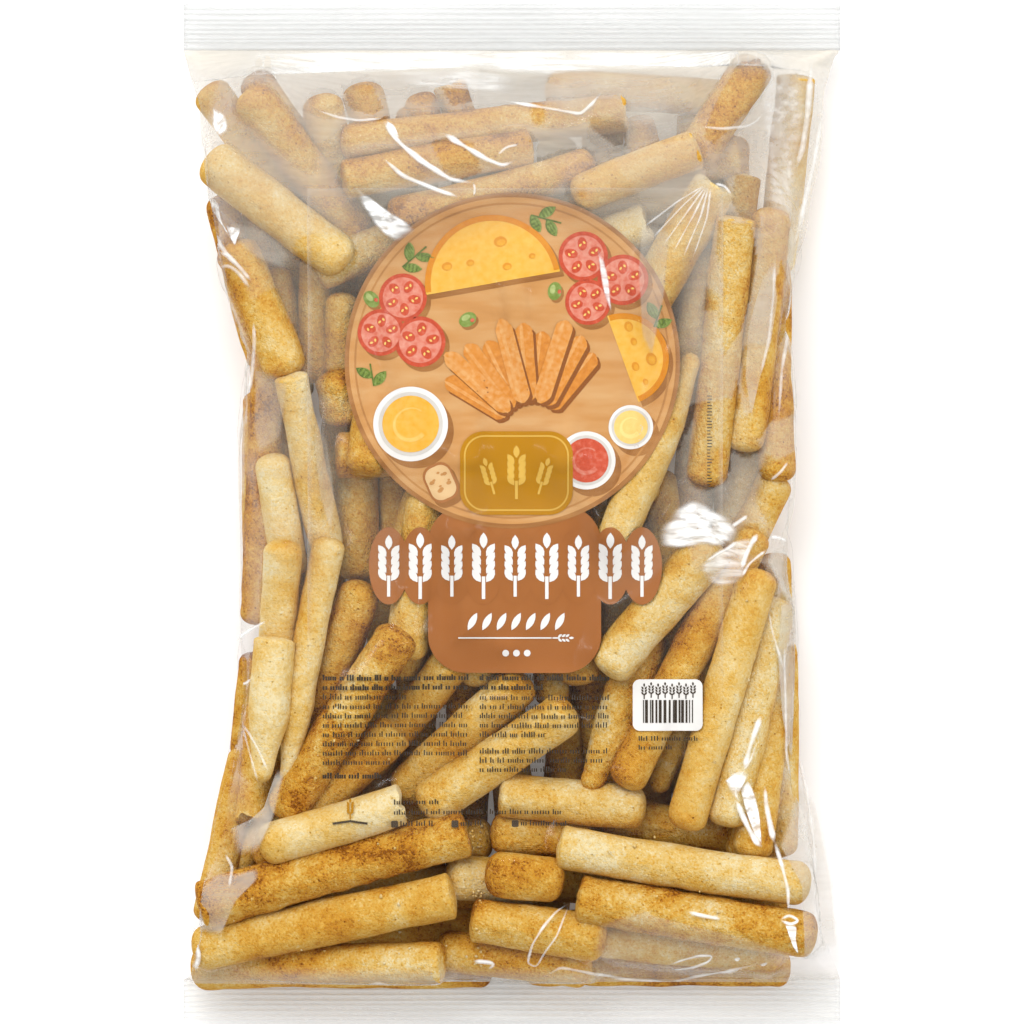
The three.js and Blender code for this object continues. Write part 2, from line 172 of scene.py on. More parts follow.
leftSticks = [
    (214, 196, 254, 368, 36, 1, 0.65), (222, 244, 292, 378, 44, 1.9, 0.4),
    (294, 376, 329, 552, 34, 2, 0.1, "sr"), (274, 453, 293, 577, 38, 1.5, 0.18),
    (287, 539, 274, 700, 38, 2, 0.12), (278, 635, 264, 778, 41, 2.3, 0.12, "sn"),
    (332, 537, 288, 778, 33, 2.2, 0.08, "rn"), (365, 580, 302, 765, 42, 1.9, 0.65),
    (250, 356, 250, 624, 37, 1, 0.6), (250, 652, 238, 760, 34, 1, 0.75),
    (262, 700, 254, 820, 36, 1.3, 0.55, "rb"), (240, 748, 210, 920, 35, 1, 0.5),
    (344, 294, 340, 378, 31, 1.2, 0.3), (337, 371, 347, 426, 43, 1.6, 0.55, "rrc"),
    (337, 455, 408, 455, 45, 1.6, 0.5, "sr"), (355, 412, 360, 581, 42, 1.3, 0.5),
    (428, 486, 402, 584, 44, 1.4, 0.45), (442, 588, 394, 676, 44, 1.3, 0.45),
    (266, 344, 276, 470, 36, 0.8, 0.5), (318, 255, 316, 384, 36, 0.9, 0.45),
    (274, 267, 300, 400, 36, 0.7, 0.6), (262, 390, 262, 560, 38, 0.4, 0.6),
]
middleSticks = [
    (404, 627, 282, 814, 46, 1.9, 0.55, "rrc"), (398, 725, 262, 864, 44, 1.8, 0.45, "sr"),
    (457, 656, 365, 767, 41, 1.7, 0.45), (528, 676, 400, 794, 43, 2, 0.45),
    (573, 706, 422, 806, 46, 2.2, 0.3), (300, 786, 232, 872, 36, 0.9, 0.35),
    (262, 843, 405, 799, 43, 2.8, 0.15, "rb"),
]
bottomSticks = [
    (203, 902, 468, 829, 47, 2.4, 0.58, "ssc"), (195, 946, 456, 889, 46, 2.2, 0.35, "rs"),
    (194, 979, 445, 957, 46, 1.9, 0.55, "rs"), (436, 946, 592, 984, 44, 1.2, 0.55),
    (447, 873, 545, 880, 46, 1.4, 0.3), (486, 868, 564, 876, 46, 1.9, 0.5),
    (472, 915, 606, 935, 46, 2, 0.5, "sr"), (500, 791, 645, 806, 44, 2, 0.3, "sr"),
    (490, 828, 592, 838, 42, 1.4, 0.6), (557, 841, 807, 881, 46, 2.5, 0.3, "sr"),
    (576, 892, 813, 931, 47, 2.3, 0.6, "src"), (592, 933, 781, 951, 43, 1.8, 0.5),
    (600, 810, 739, 834, 40, 1.3, 0.65, "rrc"),
]
rightSticks = [
    (657, 470, 668, 600, 38, 0.5, 0.55), (668, 600, 672, 700, 36, 0.5, 0.5),
    (563, 705, 567, 800, 36, 0.5, 0.55), (550, 590, 552, 705, 38, 0.6, 0.6),
    (461, 660, 463, 740, 36, 0.5, 0.6), (258, 205, 264, 300, 34, 0.5, 0.5),
    (402, 340, 400, 440, 36, 0.5, 0.55), (397, 465, 398, 560, 36, 0.5, 0.6),
    (621, 545, 619, 640, 36, 0.5, 0.55), (443, 600, 445, 670, 34, 0.5, 0.55),
    (713, 540, 603, 671, 49, 2.8, 0.3), (650, 628, 587, 786, 43, 2.1, 0.5, "rnc"),
    (754, 528, 622, 784, 41, 2.2, 0.45), (706, 640, 656, 790, 43, 2, 0.4, "rn"),
    (780, 474, 702, 622, 40, 1.5, 0.45), (758, 568, 682, 825, 41, 2.3, 0.2),
    (776, 596, 722, 823, 42, 2.1, 0.3), (787, 640, 750, 855, 40, 1.7, 0.45),
    (796, 636, 778, 855, 36, 1.2, 0.3), (790, 552, 792, 700, 34, 0.9, 0.5),
    (645, 686, 636, 770, 34, 1.1, 0.7, "rrc"), (757, 776, 740, 857, 36, 1.3, 0.6, "rrc"),
    (733, 220, 702, 487, 41, 2.2, 0.52, "sr"), (770, 210, 741, 452, 39, 1.9, 0.42),
    (764, 425, 722, 560, 38, 0.9, 0.35), (771, 258, 779, 482, 37, 1.5, 0.65),
    (692, 356, 610, 547, 43, 2.3, 0.15, "nr"), (708, 250, 684, 412, 37, 1.4, 0.3),
]
# Upright sticks that the print hides: columns side by side, leaning left and right in turn.
uprightRows = [
    {"xs": np.arange(-42, 37, 15.6), "y": 44, "length": 74, "lean": 5, "layer": 1.8, "toast": 0.4},
    {"xs": np.arange(-30, 19, 16), "y": -24, "length": 54, "lean": 4, "layer": 1.7, "toast": 0.4},
]
# The floor of the heap: sticks laid along the bag on its back film, and across it at the bottom.
floorSticks = {
    "columns": 11, "reach": 72, "ys": (-93, -5, 83), "length": 85, "stagger": 5, "turn": 7,
    "thickness": 13.4, "layer": 0, "toast": 0.6,
}
crossSticks = {
    "ys": (-146, -132.5, -119, -105.5), "spans": ((-91, -6), (3, 89)), "lean": 1.5, "layer": 0.8,
    "toast": 0.55,
}


def listSticks():
    rows = []
    thick = floorSticks["thickness"]
    xs = np.linspace(-floorSticks["reach"], floorSticks["reach"], floorSticks["columns"])
    for (i, x), (j, y) in itertools.product(enumerate(xs), enumerate(floorSticks["ys"])):
        turn = math.radians(90 + floorSticks["turn"] * math.sin(3 * i + 2 * j))   # each its own way
        cy = y + floorSticks["stagger"] * (1 if i % 2 else -1)
        dx, dy = (floorSticks["length"] / 2 * part for part in (math.cos(turn), math.sin(turn)))
        ends = (x - dx, cy - dy, x + dx, cy + dy)
        rows.append((*ends, thick, floorSticks["layer"], floorSticks["toast"], "rr"))
    for i, y in enumerate(crossSticks["ys"]):
        lean = crossSticks["lean"] * (1 if i % 2 else -1)
        for x0, x1 in crossSticks["spans"]:
            ends = (x0, y - lean, x1, y + lean)
            rows.append((*ends, thick, crossSticks["layer"], crossSticks["toast"], "rr"))
    for row in uprightRows:
        for i, x in enumerate(row["xs"]):
            lean = row["lean"] * (1 if i % 2 == 0 else -1)
            y, half = row["y"] + lean, row["length"] / 2
            ends = (x - lean, y - half, x + lean, y + half)
            rows.append((*ends, thick, row["layer"], row["toast"], "rr"))
    for c0, r0, c1, r1, thick, layer, toast, *code in (
            topSticks + leftSticks + middleSticks + bottomSticks + rightSticks):
        ends = [halves(value) for value in (*fromGrid(c0, r0), *fromGrid(c1, r1))]
        rows.append((*ends, round(thick * drawingGrid["cell"], 1), layer, toast, *(code or ["rr"])))
    return sorted(rows, key=lambda row: row[5])


stacking = {
    "rounds": 220,
    "pull": 0.02,        # share of the way back to its layer that a stick takes each round
    "steepest": 0.14,    # most rise of a stick over its length, to each side of its middle
    "clear": 0.5,        # height over the table
    "inset": 0.8,        # distance from the bag's side, and the share of its radius that an end keeps
    "endRoom": 0.25,
    "bottomRoom": 1.0,   # distance from the bottom seal and from the top seal
    "topRoom": 4.0,
    "core": 0.8,         # share of its radius by which a stick's core stops short of its ends
    "sideTurn": 1.5,     # how much wider than the film's the sticks' turn at a side is
    "floorLayer": 0.3,   # sticks under this layer don't sink at a side
    "domeLayer": 1.5,    # sticks over this layer follow the whole dome
    "probes": 7,         # places along a stick where it is tried against the others
    "touch": 0.98,       # share of both radii under which two sticks touch
    "least": 1e-6,       # what the sum of a stick's shares starts from
}


def stackSticks(rows):
    # Each stick keeps its place in plan. Its two ends find their height by many small rounds:
    # crossing sticks push each other apart and each is drawn to the height of its layer.
    a = np.array([row[0:2] for row in rows], float)
    b = np.array([row[2:4] for row in rows], float)
    r = np.array([row[4] / 2 for row in rows])
    layer = np.array([row[5] for row in rows], float)
    along = (b - a) / np.linalg.norm(b - a, axis=1)[:, None]
    clear = stacking["inset"] + r * np.maximum(np.abs(along[:, 1]), stacking["endRoom"])
    for end in (a, b):
        end[:, 0] = np.clip(end[:, 0], clear - sideAt(-1, end[:, 1]), sideAt(1, end[:, 1]) - clear)
        lowest = bodyBottom + r / 2 + stacking["bottomRoom"]
        end[:, 1] = np.clip(end[:, 1], lowest, bodyTop - stacking["topRoom"])
    length = np.linalg.norm(b - a, axis=1)
    way = (b - a) / length[:, None]
    short = way * r[:, None] * stacking["core"]
    coreA, coreB = a + short, b - short
    middle, half = (coreA + coreB) / 2, np.linalg.norm(coreB - coreA, axis=1) / 2

    def wanted(p):
        full = fullness(p[:, 0], p[:, 1], stacking["sideTurn"] * bag["sideRound"])
        sunk = np.where(layer > stacking["floorLayer"], 1 - bag["sideSink"] * (1 - full), 1)
        acrossBag, downBag = p[:, 0] / bag["halfWidth"], p[:, 1] / bag["halfLength"]
        rise = bag["dome"] * (1 - acrossBag ** 2) * (1 - downBag ** 2)
        return (r + layer * bag["layerRise"]) * sunk + rise * np.minimum(layer / stacking["domeLayer"], 1)

    goalA, goalB = wanted(coreA) + stacking["clear"], wanted(coreB) + stacking["clear"]
    zA, zB = goalA.copy(), goalB.copy()
    contacts = []
    spots = np.linspace(-1, 1, stacking["probes"])
    for i in range(len(rows)):
        for k in range(i):
            reach = r[i] + r[k]
            if math.dist(middle[i], middle[k]) > half[i] + half[k] + reach:
                continue
            p = middle[i] + np.outer(spots * half[i], way[i])
            t = np.clip((p - middle[k]) @ way[k], -half[k], half[k])
            apart = np.linalg.norm(p - middle[k] - np.outer(t, way[k]), axis=1)
            for n in np.nonzero(apart < reach * stacking["touch"])[0]:
                lift = math.sqrt(reach ** 2 - apart[n] ** 2)
                contacts.append((i, k, (spots[n] + 1) / 2, (t[n] / half[k] + 1) / 2, lift))
    upper, lower = (np.array([c[n] for c in contacts]) for n in (0, 1))
    su, sl, lift = (np.array([c[n] for c in contacts]) for n in (2, 3, 4))
    ceiling = bag["height"] - bag["filmRoom"] - r
    for _ in range(stacking["rounds"]):
        gap = zA[upper] * (1 - su) + zB[upper] * su - zA[lower] * (1 - sl) - zB[lower] * sl
        push = np.maximum(lift - gap, 0) / 2
        moves = np.zeros((2, len(rows)))
        shares = np.full((2, len(rows)), stacking["least"])
        for ids, s, sign in ((upper, su, 1), (lower, sl, -1)):
            for end, weight in ((0, 1 - s), (1, s)):
                np.add.at(moves[end], ids, sign * push * weight)
                np.add.at(shares[end], ids, (push > 0) * weight)
        zA += moves[0] / np.maximum(shares[0], 1) + (goalA - zA) * stacking["pull"]
        zB += moves[1] / np.maximum(shares[1], 1) + (goalB - zB) * stacking["pull"]
        centre = (zA + zB) / 2
        tilt = np.clip((zB - zA) / 2, -length * stacking["steepest"], length * stacking["steepest"])
        zA = np.clip(centre - tilt, r + stacking["clear"], ceiling)
        zB = np.clip(centre + tilt, r + stacking["clear"], ceiling)
    made = []
    for i, row in enumerate(rows):
        made.append({
            "a": np.array([*a[i], zA[i]]), "b": np.array([*b[i], zB[i]]), "radius": r[i],
            "layer": row[5], "toast": row[6], "ends": row[7][:2], "crumbly": row[7].endswith("c"),
        })
    return made


sticks = stackSticks(listSticks())
print("stacked", len(sticks), "sticks")


# The body of the bag is one tube of film: columns run round it, 0 to half of them over the
# front from left to right and the rest under the back, and rows run from seal to seal.
film = {
    "columns": 64,
    "rows": 49,
    "slack": 16.0,       # film length to spare over the straight way between the seals
    "lift": 46.0,        # height that the front starts from
    "startClear": 3.0,   # how far off the sticks the film starts, and how far over the front ones
    "startOver": 1.0,
    "thin": 0.15,        # the back film's height over the table
    "gap": 0.5,          # least distance of front and back film
    "clearance": 1.0,    # least distance of the front film and the sticks, for the print between them
    "startRoom": 0.8,    # distance from the bag's full height, at the start and while it settles
    "room": 0.6,
    "weight": 0.25,      # how far the back sinks towards the table each round
    "sag": 0.5,          # share of each press that goes straight down
    "underRound": 20.0,  # width over which a side turns in to the table
    # how firmly the film keeps its length between neighbours, across their squares and over
    # longer steps, and how firmly its two side lines keep their place and their height
    "neighbours": 1.0, "squares": 0.5, "steps": 0.6, "sides": 0.25, "sideHeights": 0.3,
    "fineColumns": 100,  # with more columns than this the longest steps count too
    # refinement, rounds of settling, inward press of each round and distance kept to the sticks
    "stages": [(0, 400, 0.12, 2.2), (1, 200, 0.06, 1.4), (1, 70, 0.03, 1.0), (0, 40, 0.0, 0.9)],
}
# The clear label that carries the print is stiffer than the bag: under the board and the panel it
# bridges the gaps between the sticks.
bridge = {
    "disc": (0, 47.8), "discRadius": 58, "panel": (0.8, -22), "panelHalf": (36, 36),
    "height": 43.0, "drop": 12.0, "edge": 22.0,
}


heightGrid = {"cell": 1.0, "border": 2.0, "none": 99.0}   # cell and border, and a height for no stick


def printDepth(x, y):
    # how far points lie inside the board's disc, and inside the panel
    disc = bridge["discRadius"] - np.hypot(x - bridge["disc"][0], y - bridge["disc"][1])
    fromMiddle = np.abs(x - bridge["panel"][0]), np.abs(y - bridge["panel"][1])
    panel = np.minimum(bridge["panelHalf"][0] - fromMiddle[0], bridge["panelHalf"][1] - fromMiddle[1])
    return disc, panel


def stickHeights(margin):
    # highest and lowest stick surface over each point of a grid, the sticks thickened by margin
    cell, border, none = heightGrid["cell"], heightGrid["border"], heightGrid["none"]
    xs, ys = (np.arange(-half - border, half + border + cell, cell)
              for half in (bag["halfWidth"], bag["halfLength"]))
    top = np.full((len(xs), len(ys)), -none)
    under = np.full((len(xs), len(ys)), none)
    for stick in sticks:
        a, b, r = stick["a"], stick["b"], stick["radius"] + margin
        i0, i1 = np.searchsorted(xs, [min(a[0], b[0]) - r, max(a[0], b[0]) + r])
        j0, j1 = np.searchsorted(ys, [min(a[1], b[1]) - r, max(a[1], b[1]) + r])
        gx, gy = np.meshgrid(xs[i0:i1], ys[j0:j1], indexing="ij")
        axis = b - a
        span = math.hypot(axis[0], axis[1])
        inner = stick["radius"] * stacking["core"]
        t = ((gx - a[0]) * axis[0] + (gy - a[1]) * axis[1]) / span ** 2
        t = np.clip(t, inner / span, 1 - inner / span)
        away = np.hypot(gx - a[0] - t * axis[0], gy - a[1] - t * axis[1])
        rise = np.sqrt(np.maximum(r * r - away * away, 0))
        inside = away < r
        z = a[2] + t * axis[2]
        top[i0:i1, j0:j1] = np.maximum(top[i0:i1, j0:j1], np.where(inside, z + rise, -none))
        under[i0:i1, j0:j1] = np.minimum(under[i0:i1, j0:j1], np.where(inside, z - rise, none))
    depth = np.maximum(*printDepth(*np.meshgrid(xs, ys, indexing="ij")))
    label = bridge["height"] - bridge["drop"] * (1 - smooth(depth / bridge["edge"]))
    top = np.maximum(top, np.where(depth > 0, label + margin, -none))
    return {"origin": (xs[0], ys[0]), "top": top, "under": under}


def heightAt(heights, which, x, y):
    # height of the sticks' "top" or "under" at any points, between the four grid points round each
    grid = heights[which]
    gx, gy = (np.clip((place - start) / heightGrid["cell"], 0, count - 1.001)
              for place, start, count in zip((x, y), heights["origin"], grid.shape))
    i, j = gx.astype(int), gy.astype(int)
    fx, fy = gx - i, gy - j
    near = grid[i, j] * (1 - fy) + grid[i, j + 1] * fy
    far = grid[i + 1, j] * (1 - fy) + grid[i + 1, j + 1] * fy
    return near * (1 - fx) + far * fx


def startTube():
    n, half = film["columns"], film["columns"] // 2
    y = np.linspace(bodyBottom, bodyTop, film["rows"])
    tube = np.zeros((n, film["rows"], 3))
    heights = stickHeights(film["startClear"])
    for i in range(n):
        share = i / half if i <= half else (n - i) / half
        x = -sideAt(-1, y) + (sideAt(1, y) + sideAt(-1, y)) * share
        full = fullness(x, y, bag["sideRound"])
        edge = edgeHeight(y)
        if i <= half:
            overSticks = heightAt(heights, "top", x, y) + film["startOver"]
            z = np.maximum(edge + (film["lift"] - edge) * full, overSticks)
        else:
            z = np.minimum(edge * (1 - full) + film["thin"], heightAt(heights, "under", x, y))
        tube[i] = np.stack([x, y, np.clip(z, film["thin"], bag["height"] - film["startRoom"])], axis=-1)
    tube[:, 0, 2] = tube[:, -1, 2] = bag["sealHeight"]
    return tube


def refineTube(tube):
    # twice as many columns round the tube and rows along it
    n, m, _ = tube.shape
    around = np.zeros((2 * n, m, 3))
    around[0::2] = tube
    around[1::2] = (tube + np.roll(tube, -1, 0)) / 2
    fine = np.zeros((2 * n, 2 * m - 1, 3))
    fine[:, 0::2] = around
    fine[:, 1::2] = (around[:, 1:] + around[:, :-1]) / 2
    return fine


def pullPairs(p, pairs, rest, stiff):
    # draws pairs of points to their rest distance; pairs are index tuples into p
    for first, second in pairs:
        d = p[second] - p[first]
        length = np.linalg.norm(d, axis=-1, keepdims=True) + 1e-9
        d *= (length - rest) / length * stiff / 2
        p[first] += d
        p[second] -= d


def settleTube(tube, rounds, press, margin):
    # Each round presses the film inwards and down, then draws it back to its length, to the side
    # lines of the bag and off the sticks.
    n, m, _ = tube.shape
    half = n // 2
    wide = 4 * bag["halfWidth"] / n
    tall = (bodyTop - bodyBottom + film["slack"]) / (m - 1)
    columns, everyRow, everyColumn = np.arange(n), slice(None), slice(None)

    def aroundPairs(step):
        sets = [columns[(columns // step) % 2 == c] for c in (0, 1)]
        return [((ids, everyRow), ((ids + step) % n, everyRow)) for ids in sets]

    def alongPairs(step):
        ids = np.arange(m - step)
        sets = [ids[(ids // step) % 2 == c] for c in (0, 1)]
        return [((everyColumn, ids), (everyColumn, ids + step)) for ids in sets]

    def slantPairs():
        pairs = []
        for c in (0, 1):
            ids = columns[columns % 2 == c]
            pairs.append(((ids, slice(0, m - 1)), ((ids + 1) % n, slice(1, m))))
            pairs.append(((ids, slice(1, m)), ((ids + 1) % n, slice(0, m - 1))))
        return pairs

    y = tube[0, :, 1]
    left, right, edge = -sideAt(-1, y), sideAt(1, y), edgeHeight(y)
    ends = tube[:, 0].copy(), tube[:, -1].copy()
    heights = stickHeights(margin)
    front = np.arange(1, half)
    back = n - front
    fromSide = np.minimum(right - tube[half:, :, 0], tube[half:, :, 0] - left)
    fromEnd = np.minimum(bodyTop - y, y - bodyBottom)
    free = smooth(np.minimum(fromSide / film["underRound"], fromEnd / bag["endRound"]))
    longSteps = (2, 4) if n > film["fineColumns"] else (2,)
    for _ in range(rounds):
        acrossTube = np.roll(tube, -1, 0) - np.roll(tube, 1, 0)
        alongTube = np.gradient(tube, axis=1)
        outward = np.cross(acrossTube, alongTube)
        outward /= np.linalg.norm(outward, axis=-1, keepdims=True) + 1e-9
        tube[:half, 1:-1] -= outward[:half, 1:-1] * press
        tube[:, 1:-1, 2] -= press * film["sag"]
        tube[half:, :, 2] -= film["weight"] * free
        for _ in (0, 1):
            pullPairs(tube, aroundPairs(1), wide, film["neighbours"])
            pullPairs(tube, alongPairs(1), tall, film["neighbours"])
            pullPairs(tube, slantPairs(), math.hypot(wide, tall), film["squares"])
        for step in longSteps:
            pullPairs(tube, aroundPairs(step), step * wide, film["steps"] / step)
            pullPairs(tube, alongPairs(step), step * tall, film["steps"] / step)
        tube[..., 0] = np.clip(tube[..., 0], left, right)
        for column, side in ((0, left), (half, right)):
            tube[column, :, 0] += (side - tube[column, :, 0]) * film["sides"]
            tube[column, :, 2] += (edge - tube[column, :, 2]) * film["sideHeights"]
        cross = np.maximum(film["gap"] - tube[front, :, 2] + tube[back, :, 2], 0) / 2
        tube[front, :, 2] += cross
        tube[back, :, 2] -= cross
        lowest = heightAt(heights, "top", tube[front, :, 0], tube[front, :, 1])
        tube[front, :, 2] = np.maximum(tube[front, :, 2], lowest)
        highest = heightAt(heights, "under", tube[back, :, 0], tube[back, :, 1])
        tube[back, :, 2] = np.minimum(tube[back, :, 2], highest)
        tube[..., 2] = np.clip(tube[..., 2], film["thin"], bag["height"] - film["room"])
        tube[:, 0], tube[:, -1] = ends
    return tube


tube = startTube()
for doublings, rounds, press, margin in film["stages"]:
    for _ in range(doublings):
        tube = refineTube(tube)
    tube = settleTube(tube, rounds, press, margin)
    print("film settled at", tube.shape[:2], "points, highest", round(float(tube[..., 2].max()), 1), "mm")


def toLinear(hexColour):
    # sRGB hex to linear RGBA
    parts = [int(hexColour[k:k + 2], 16) / 255 for k in (1, 3, 5)]
    return [v / 12.92 if v <= 0.04045 else ((v + 0.055) / 1.055) ** 2.4 for v in parts] + [1.0]


def makePiece(name, points, faceSets, material, values):
    # one mesh of the bag, from points in millimetres, arrays of faces with 3 or 4 corners and
    # named values at the points, which its material reads
    mesh = bpy.data.meshes.new(name)
    faceSets = [np.asarray(f, int) for f in faceSets if len(f)]
    corners = np.concatenate([f.ravel() for f in faceSets])
    sizes = np.concatenate([np.full(len(f), f.shape[1]) for f in faceSets])
    mesh.vertices.add(len(points))
    mesh.vertices.foreach_set("co", (np.asarray(points, float) * toMetres).ravel())
    mesh.loops.add(len(corners))
    mesh.loops.foreach_set("vertex_index", corners)
    mesh.polygons.add(len(sizes))
    mesh.polygons.foreach_set("loop_start", np.concatenate([[0], np.cumsum(sizes)[:-1]]))
    mesh.polygons.foreach_set("use_smooth", np.full(len(sizes), True))
    mesh.update(calc_edges=True)
    mesh.validate()
    for key, numbers in values.items():
        mesh.attributes.new(key, "FLOAT", "POINT").data.foreach_set("value", np.asarray(numbers, float))
    mesh.materials.append(material)
    piece = bpy.data.objects.new(name, mesh)
    bpy.context.scene.collection.objects.link(piece)
    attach(piece, "root")
    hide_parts("bag")
    return piece


def gridFaces(n, m, start=0):
    # quads of a grid of n rows of m points
    i, j = np.meshgrid(np.arange(n - 1), np.arange(m - 1), indexing="ij")
    k = i + 1
    return np.stack([i * m + j, k * m + j, k * m + j + 1, i * m + j + 1], -1).reshape(-1, 4) + start


def closeRows(n, m, start=0):
    # quads that join the last point of each row to its first
    first = start + np.arange(n - 1) * m
    last = first + m - 1
    return np.stack([last, last + m, first + m, first], -1)


def newMaterial(name):
    material = bpy.data.materials.new(name)
    material.use_nodes = True
    material.node_tree.nodes.clear()
    return material, material.node_tree


def addNode(tree, kind, settings=None, links=None):
    # one node with its settings, by property or socket, and its links, each from a socket or from
    # the first one of another node
    node = tree.nodes.new("ShaderNode" + kind)
    for key, value in (settings or {}).items():
        if isinstance(key, int) or key in node.inputs:
            node.inputs[key].default_value = value
        else:
            setattr(node, key, value)
    for key, source in (links or {}).items():
        tree.links.new(source.outputs[0] if hasattr(source, "outputs") else source, node.inputs[key])
    return node


def perMetre(sizeMm):
    # texture scale for a pattern of this size
    return 1 / (sizeMm * toMetres)


noiseSpan = (0.3, 0.7)   # a noise texture stays mostly between these

# Wheat dough baked on a tray: matt and dry, cream where it was covered and golden to brown where
# the oven reached it, under a dense freckle of bran and browned grains.
crust = {
    # place of each colour on the way from pale to brown
    "tones": [
        (0.0, "#DACA9F"), (0.2, "#D5B877"), (0.42, "#CDA34C"), (0.64, "#C28C2D"), (0.84, "#AE721E"),
        (1.0, "#7E490D"),
    ],
    # size, detail and strength of the clouds that shift the tone
    "clouds": [(15.0, 2.0, 1.65), (4.8, 3.0, 1.0), (1.4, 4.0, 0.65)],
    "grain": 0.56, "darkGrain": 0.23, "paleGrain": 0.18, "fromChance": 0.55,
    "pore": 3.2, "poreWidth": 0.11, "poreEdge": 0.6, "poreShade": 0.3,   # widths are shares
    "blister": 2.6, "blisterDetail": 5.0, "blisterRise": 0.5,   # size, detail and rise in millimetres
    "gritRise": 0.22, "gritReach": 0.7,
    "roughness": 0.82, "ior": 1.4, "specular": 0.25,
}


def bakedCrust(name, patchiness, coarseness):
    # the mesh's own toast, from 0 to 1 and with painted shade on the flanks of the sticks, sets the tone,
    # and clouds, grains and pores shift it
    material, tree = newMaterial(name)
    where = addNode(tree, "TexCoord").outputs["Object"]
    tone = addNode(tree, "Attribute", {"attribute_name": "toast"}).outputs["Fac"]
    for size, fineness, strength in crust["clouds"]:
        cloud = addNode(tree, "TexNoise", {"Scale": perMetre(size), "Detail": fineness}, {"Vector": where})
        reach = patchiness * strength
        shift = addNode(tree, "MapRange", {1: noiseSpan[0], 2: noiseSpan[1], 3: -reach, 4: reach},
                        {0: cloud.outputs["Fac"]})
        tone = addNode(tree, "Math", {"operation": "ADD"}, {0: tone, 1: shift})

    # single grains of the flour, some browner and some paler than what is round them
    grains = addNode(tree, "TexVoronoi", {"Scale": perMetre(crust["grain"])}, {"Vector": where})
    chance = addNode(tree, "SeparateColor", links={0: grains.outputs["Color"]})
    for channel, shade in ((0, crust["darkGrain"]), (1, -crust["paleGrain"])):
        seen = addNode(tree, "MapRange", {1: crust["fromChance"], 2: 1.0, 3: 0.0, 4: shade * coarseness},
                       {0: chance.outputs[channel]})
        tone = addNode(tree, "Math", {"operation": "ADD"}, {0: tone, 1: seen})

    # small pits where the crust burst, deeper than what is round them and darker with painted shade
    pores = addNode(tree, "TexVoronoi", {"Scale": perMetre(crust["pore"])}, {"Vector": where})
    wide = crust["poreWidth"]
    pit = addNode(tree, "MapRange", {1: crust["poreEdge"] * wide, 2: wide, 3: 1.0, 4: 0.0},
                  {0: pores.outputs["Distance"]})
    pitShade = addNode(tree, "Math", {"operation": "MULTIPLY", 1: crust["poreShade"]}, {0: pit})
    tone = addNode(tree, "Math", {"operation": "ADD"}, {0: tone, 1: pitShade})
    ramp = addNode(tree, "ValToRGB", links={0: tone})
    while len(ramp.color_ramp.elements) < len(crust["tones"]):
        ramp.color_ramp.elements.new(0.5)
    for element, (place, colour) in zip(ramp.color_ramp.elements, crust["tones"]):
        element.position = place
        element.color = toLinear(colour)

    # relief: blisters of the crust, the grains on them and the pits
    blisterSize = {"Scale": perMetre(crust["blister"]), "Detail": crust["blisterDetail"]}
    blister = addNode(tree, "TexNoise", blisterSize, {"Vector": where})
    tallest = crust["blisterRise"] * coarseness
    rise = addNode(tree, "MapRange", {1: noiseSpan[0], 2: noiseSpan[1], 4: tallest},
                   {0: blister.outputs["Fac"]})
    grit = addNode(tree, "MapRange", {2: crust["gritReach"], 3: crust["gritRise"] * coarseness, 4: 0.0},
                   {0: grains.outputs["Distance"]})
    relief = addNode(tree, "Math", {"operation": "ADD"}, {0: rise, 1: grit})
    pitted = addNode(tree, "Math", {"operation": "SUBTRACT"}, {0: relief, 1: pitShade})
    bump = addNode(tree, "Bump", {"Strength": 1.0, "Distance": toMetres}, {"Height": pitted})
    finish = {"Roughness": crust["roughness"], "IOR": crust["ior"], "Specular IOR Level": crust["specular"]}
    shader = addNode(tree, "BsdfPrincipled", finish, {"Base Color": ramp, "Normal": bump})
    addNode(tree, "OutputMaterial", links={"Surface": shader})
    return material


# Cast polypropylene film, about 40 micrometres thick: clear, with a shine that is strong only at
# a flat angle, and milky where it is folded, doubled or away from what it covers. Its milk also carries
# painted reflection and painted highlights.
filmFinish = {
    "roughness": 0.11,
    "facing": 0.008, "grazing": 0.6, "steepness": 4.0,   # shine seen straight on and flat, and its growth
    "wave": 22.0, "waveDetail": 2.0, "waveRelief": 0.3,
    "streak": 2.2, "streakDetail": 4.0, "streakStretch": (0.16, 1, 1), "streakTurn": (0, 0, 0.35),
    "streakSpan": (0.35, 0.65),
    # milk of the film and of its painted reflection, and white of the folds and the painted highlights
    "milk": "#D5CEC1", "white": "#F8F8F6",
    # how far streaks break up the milk of the plain, folded, painted-glint and sealed film
    "plain": 0.09, "folded": 0.2, "crinkled": 0.6, "sealed": 0.12,
}


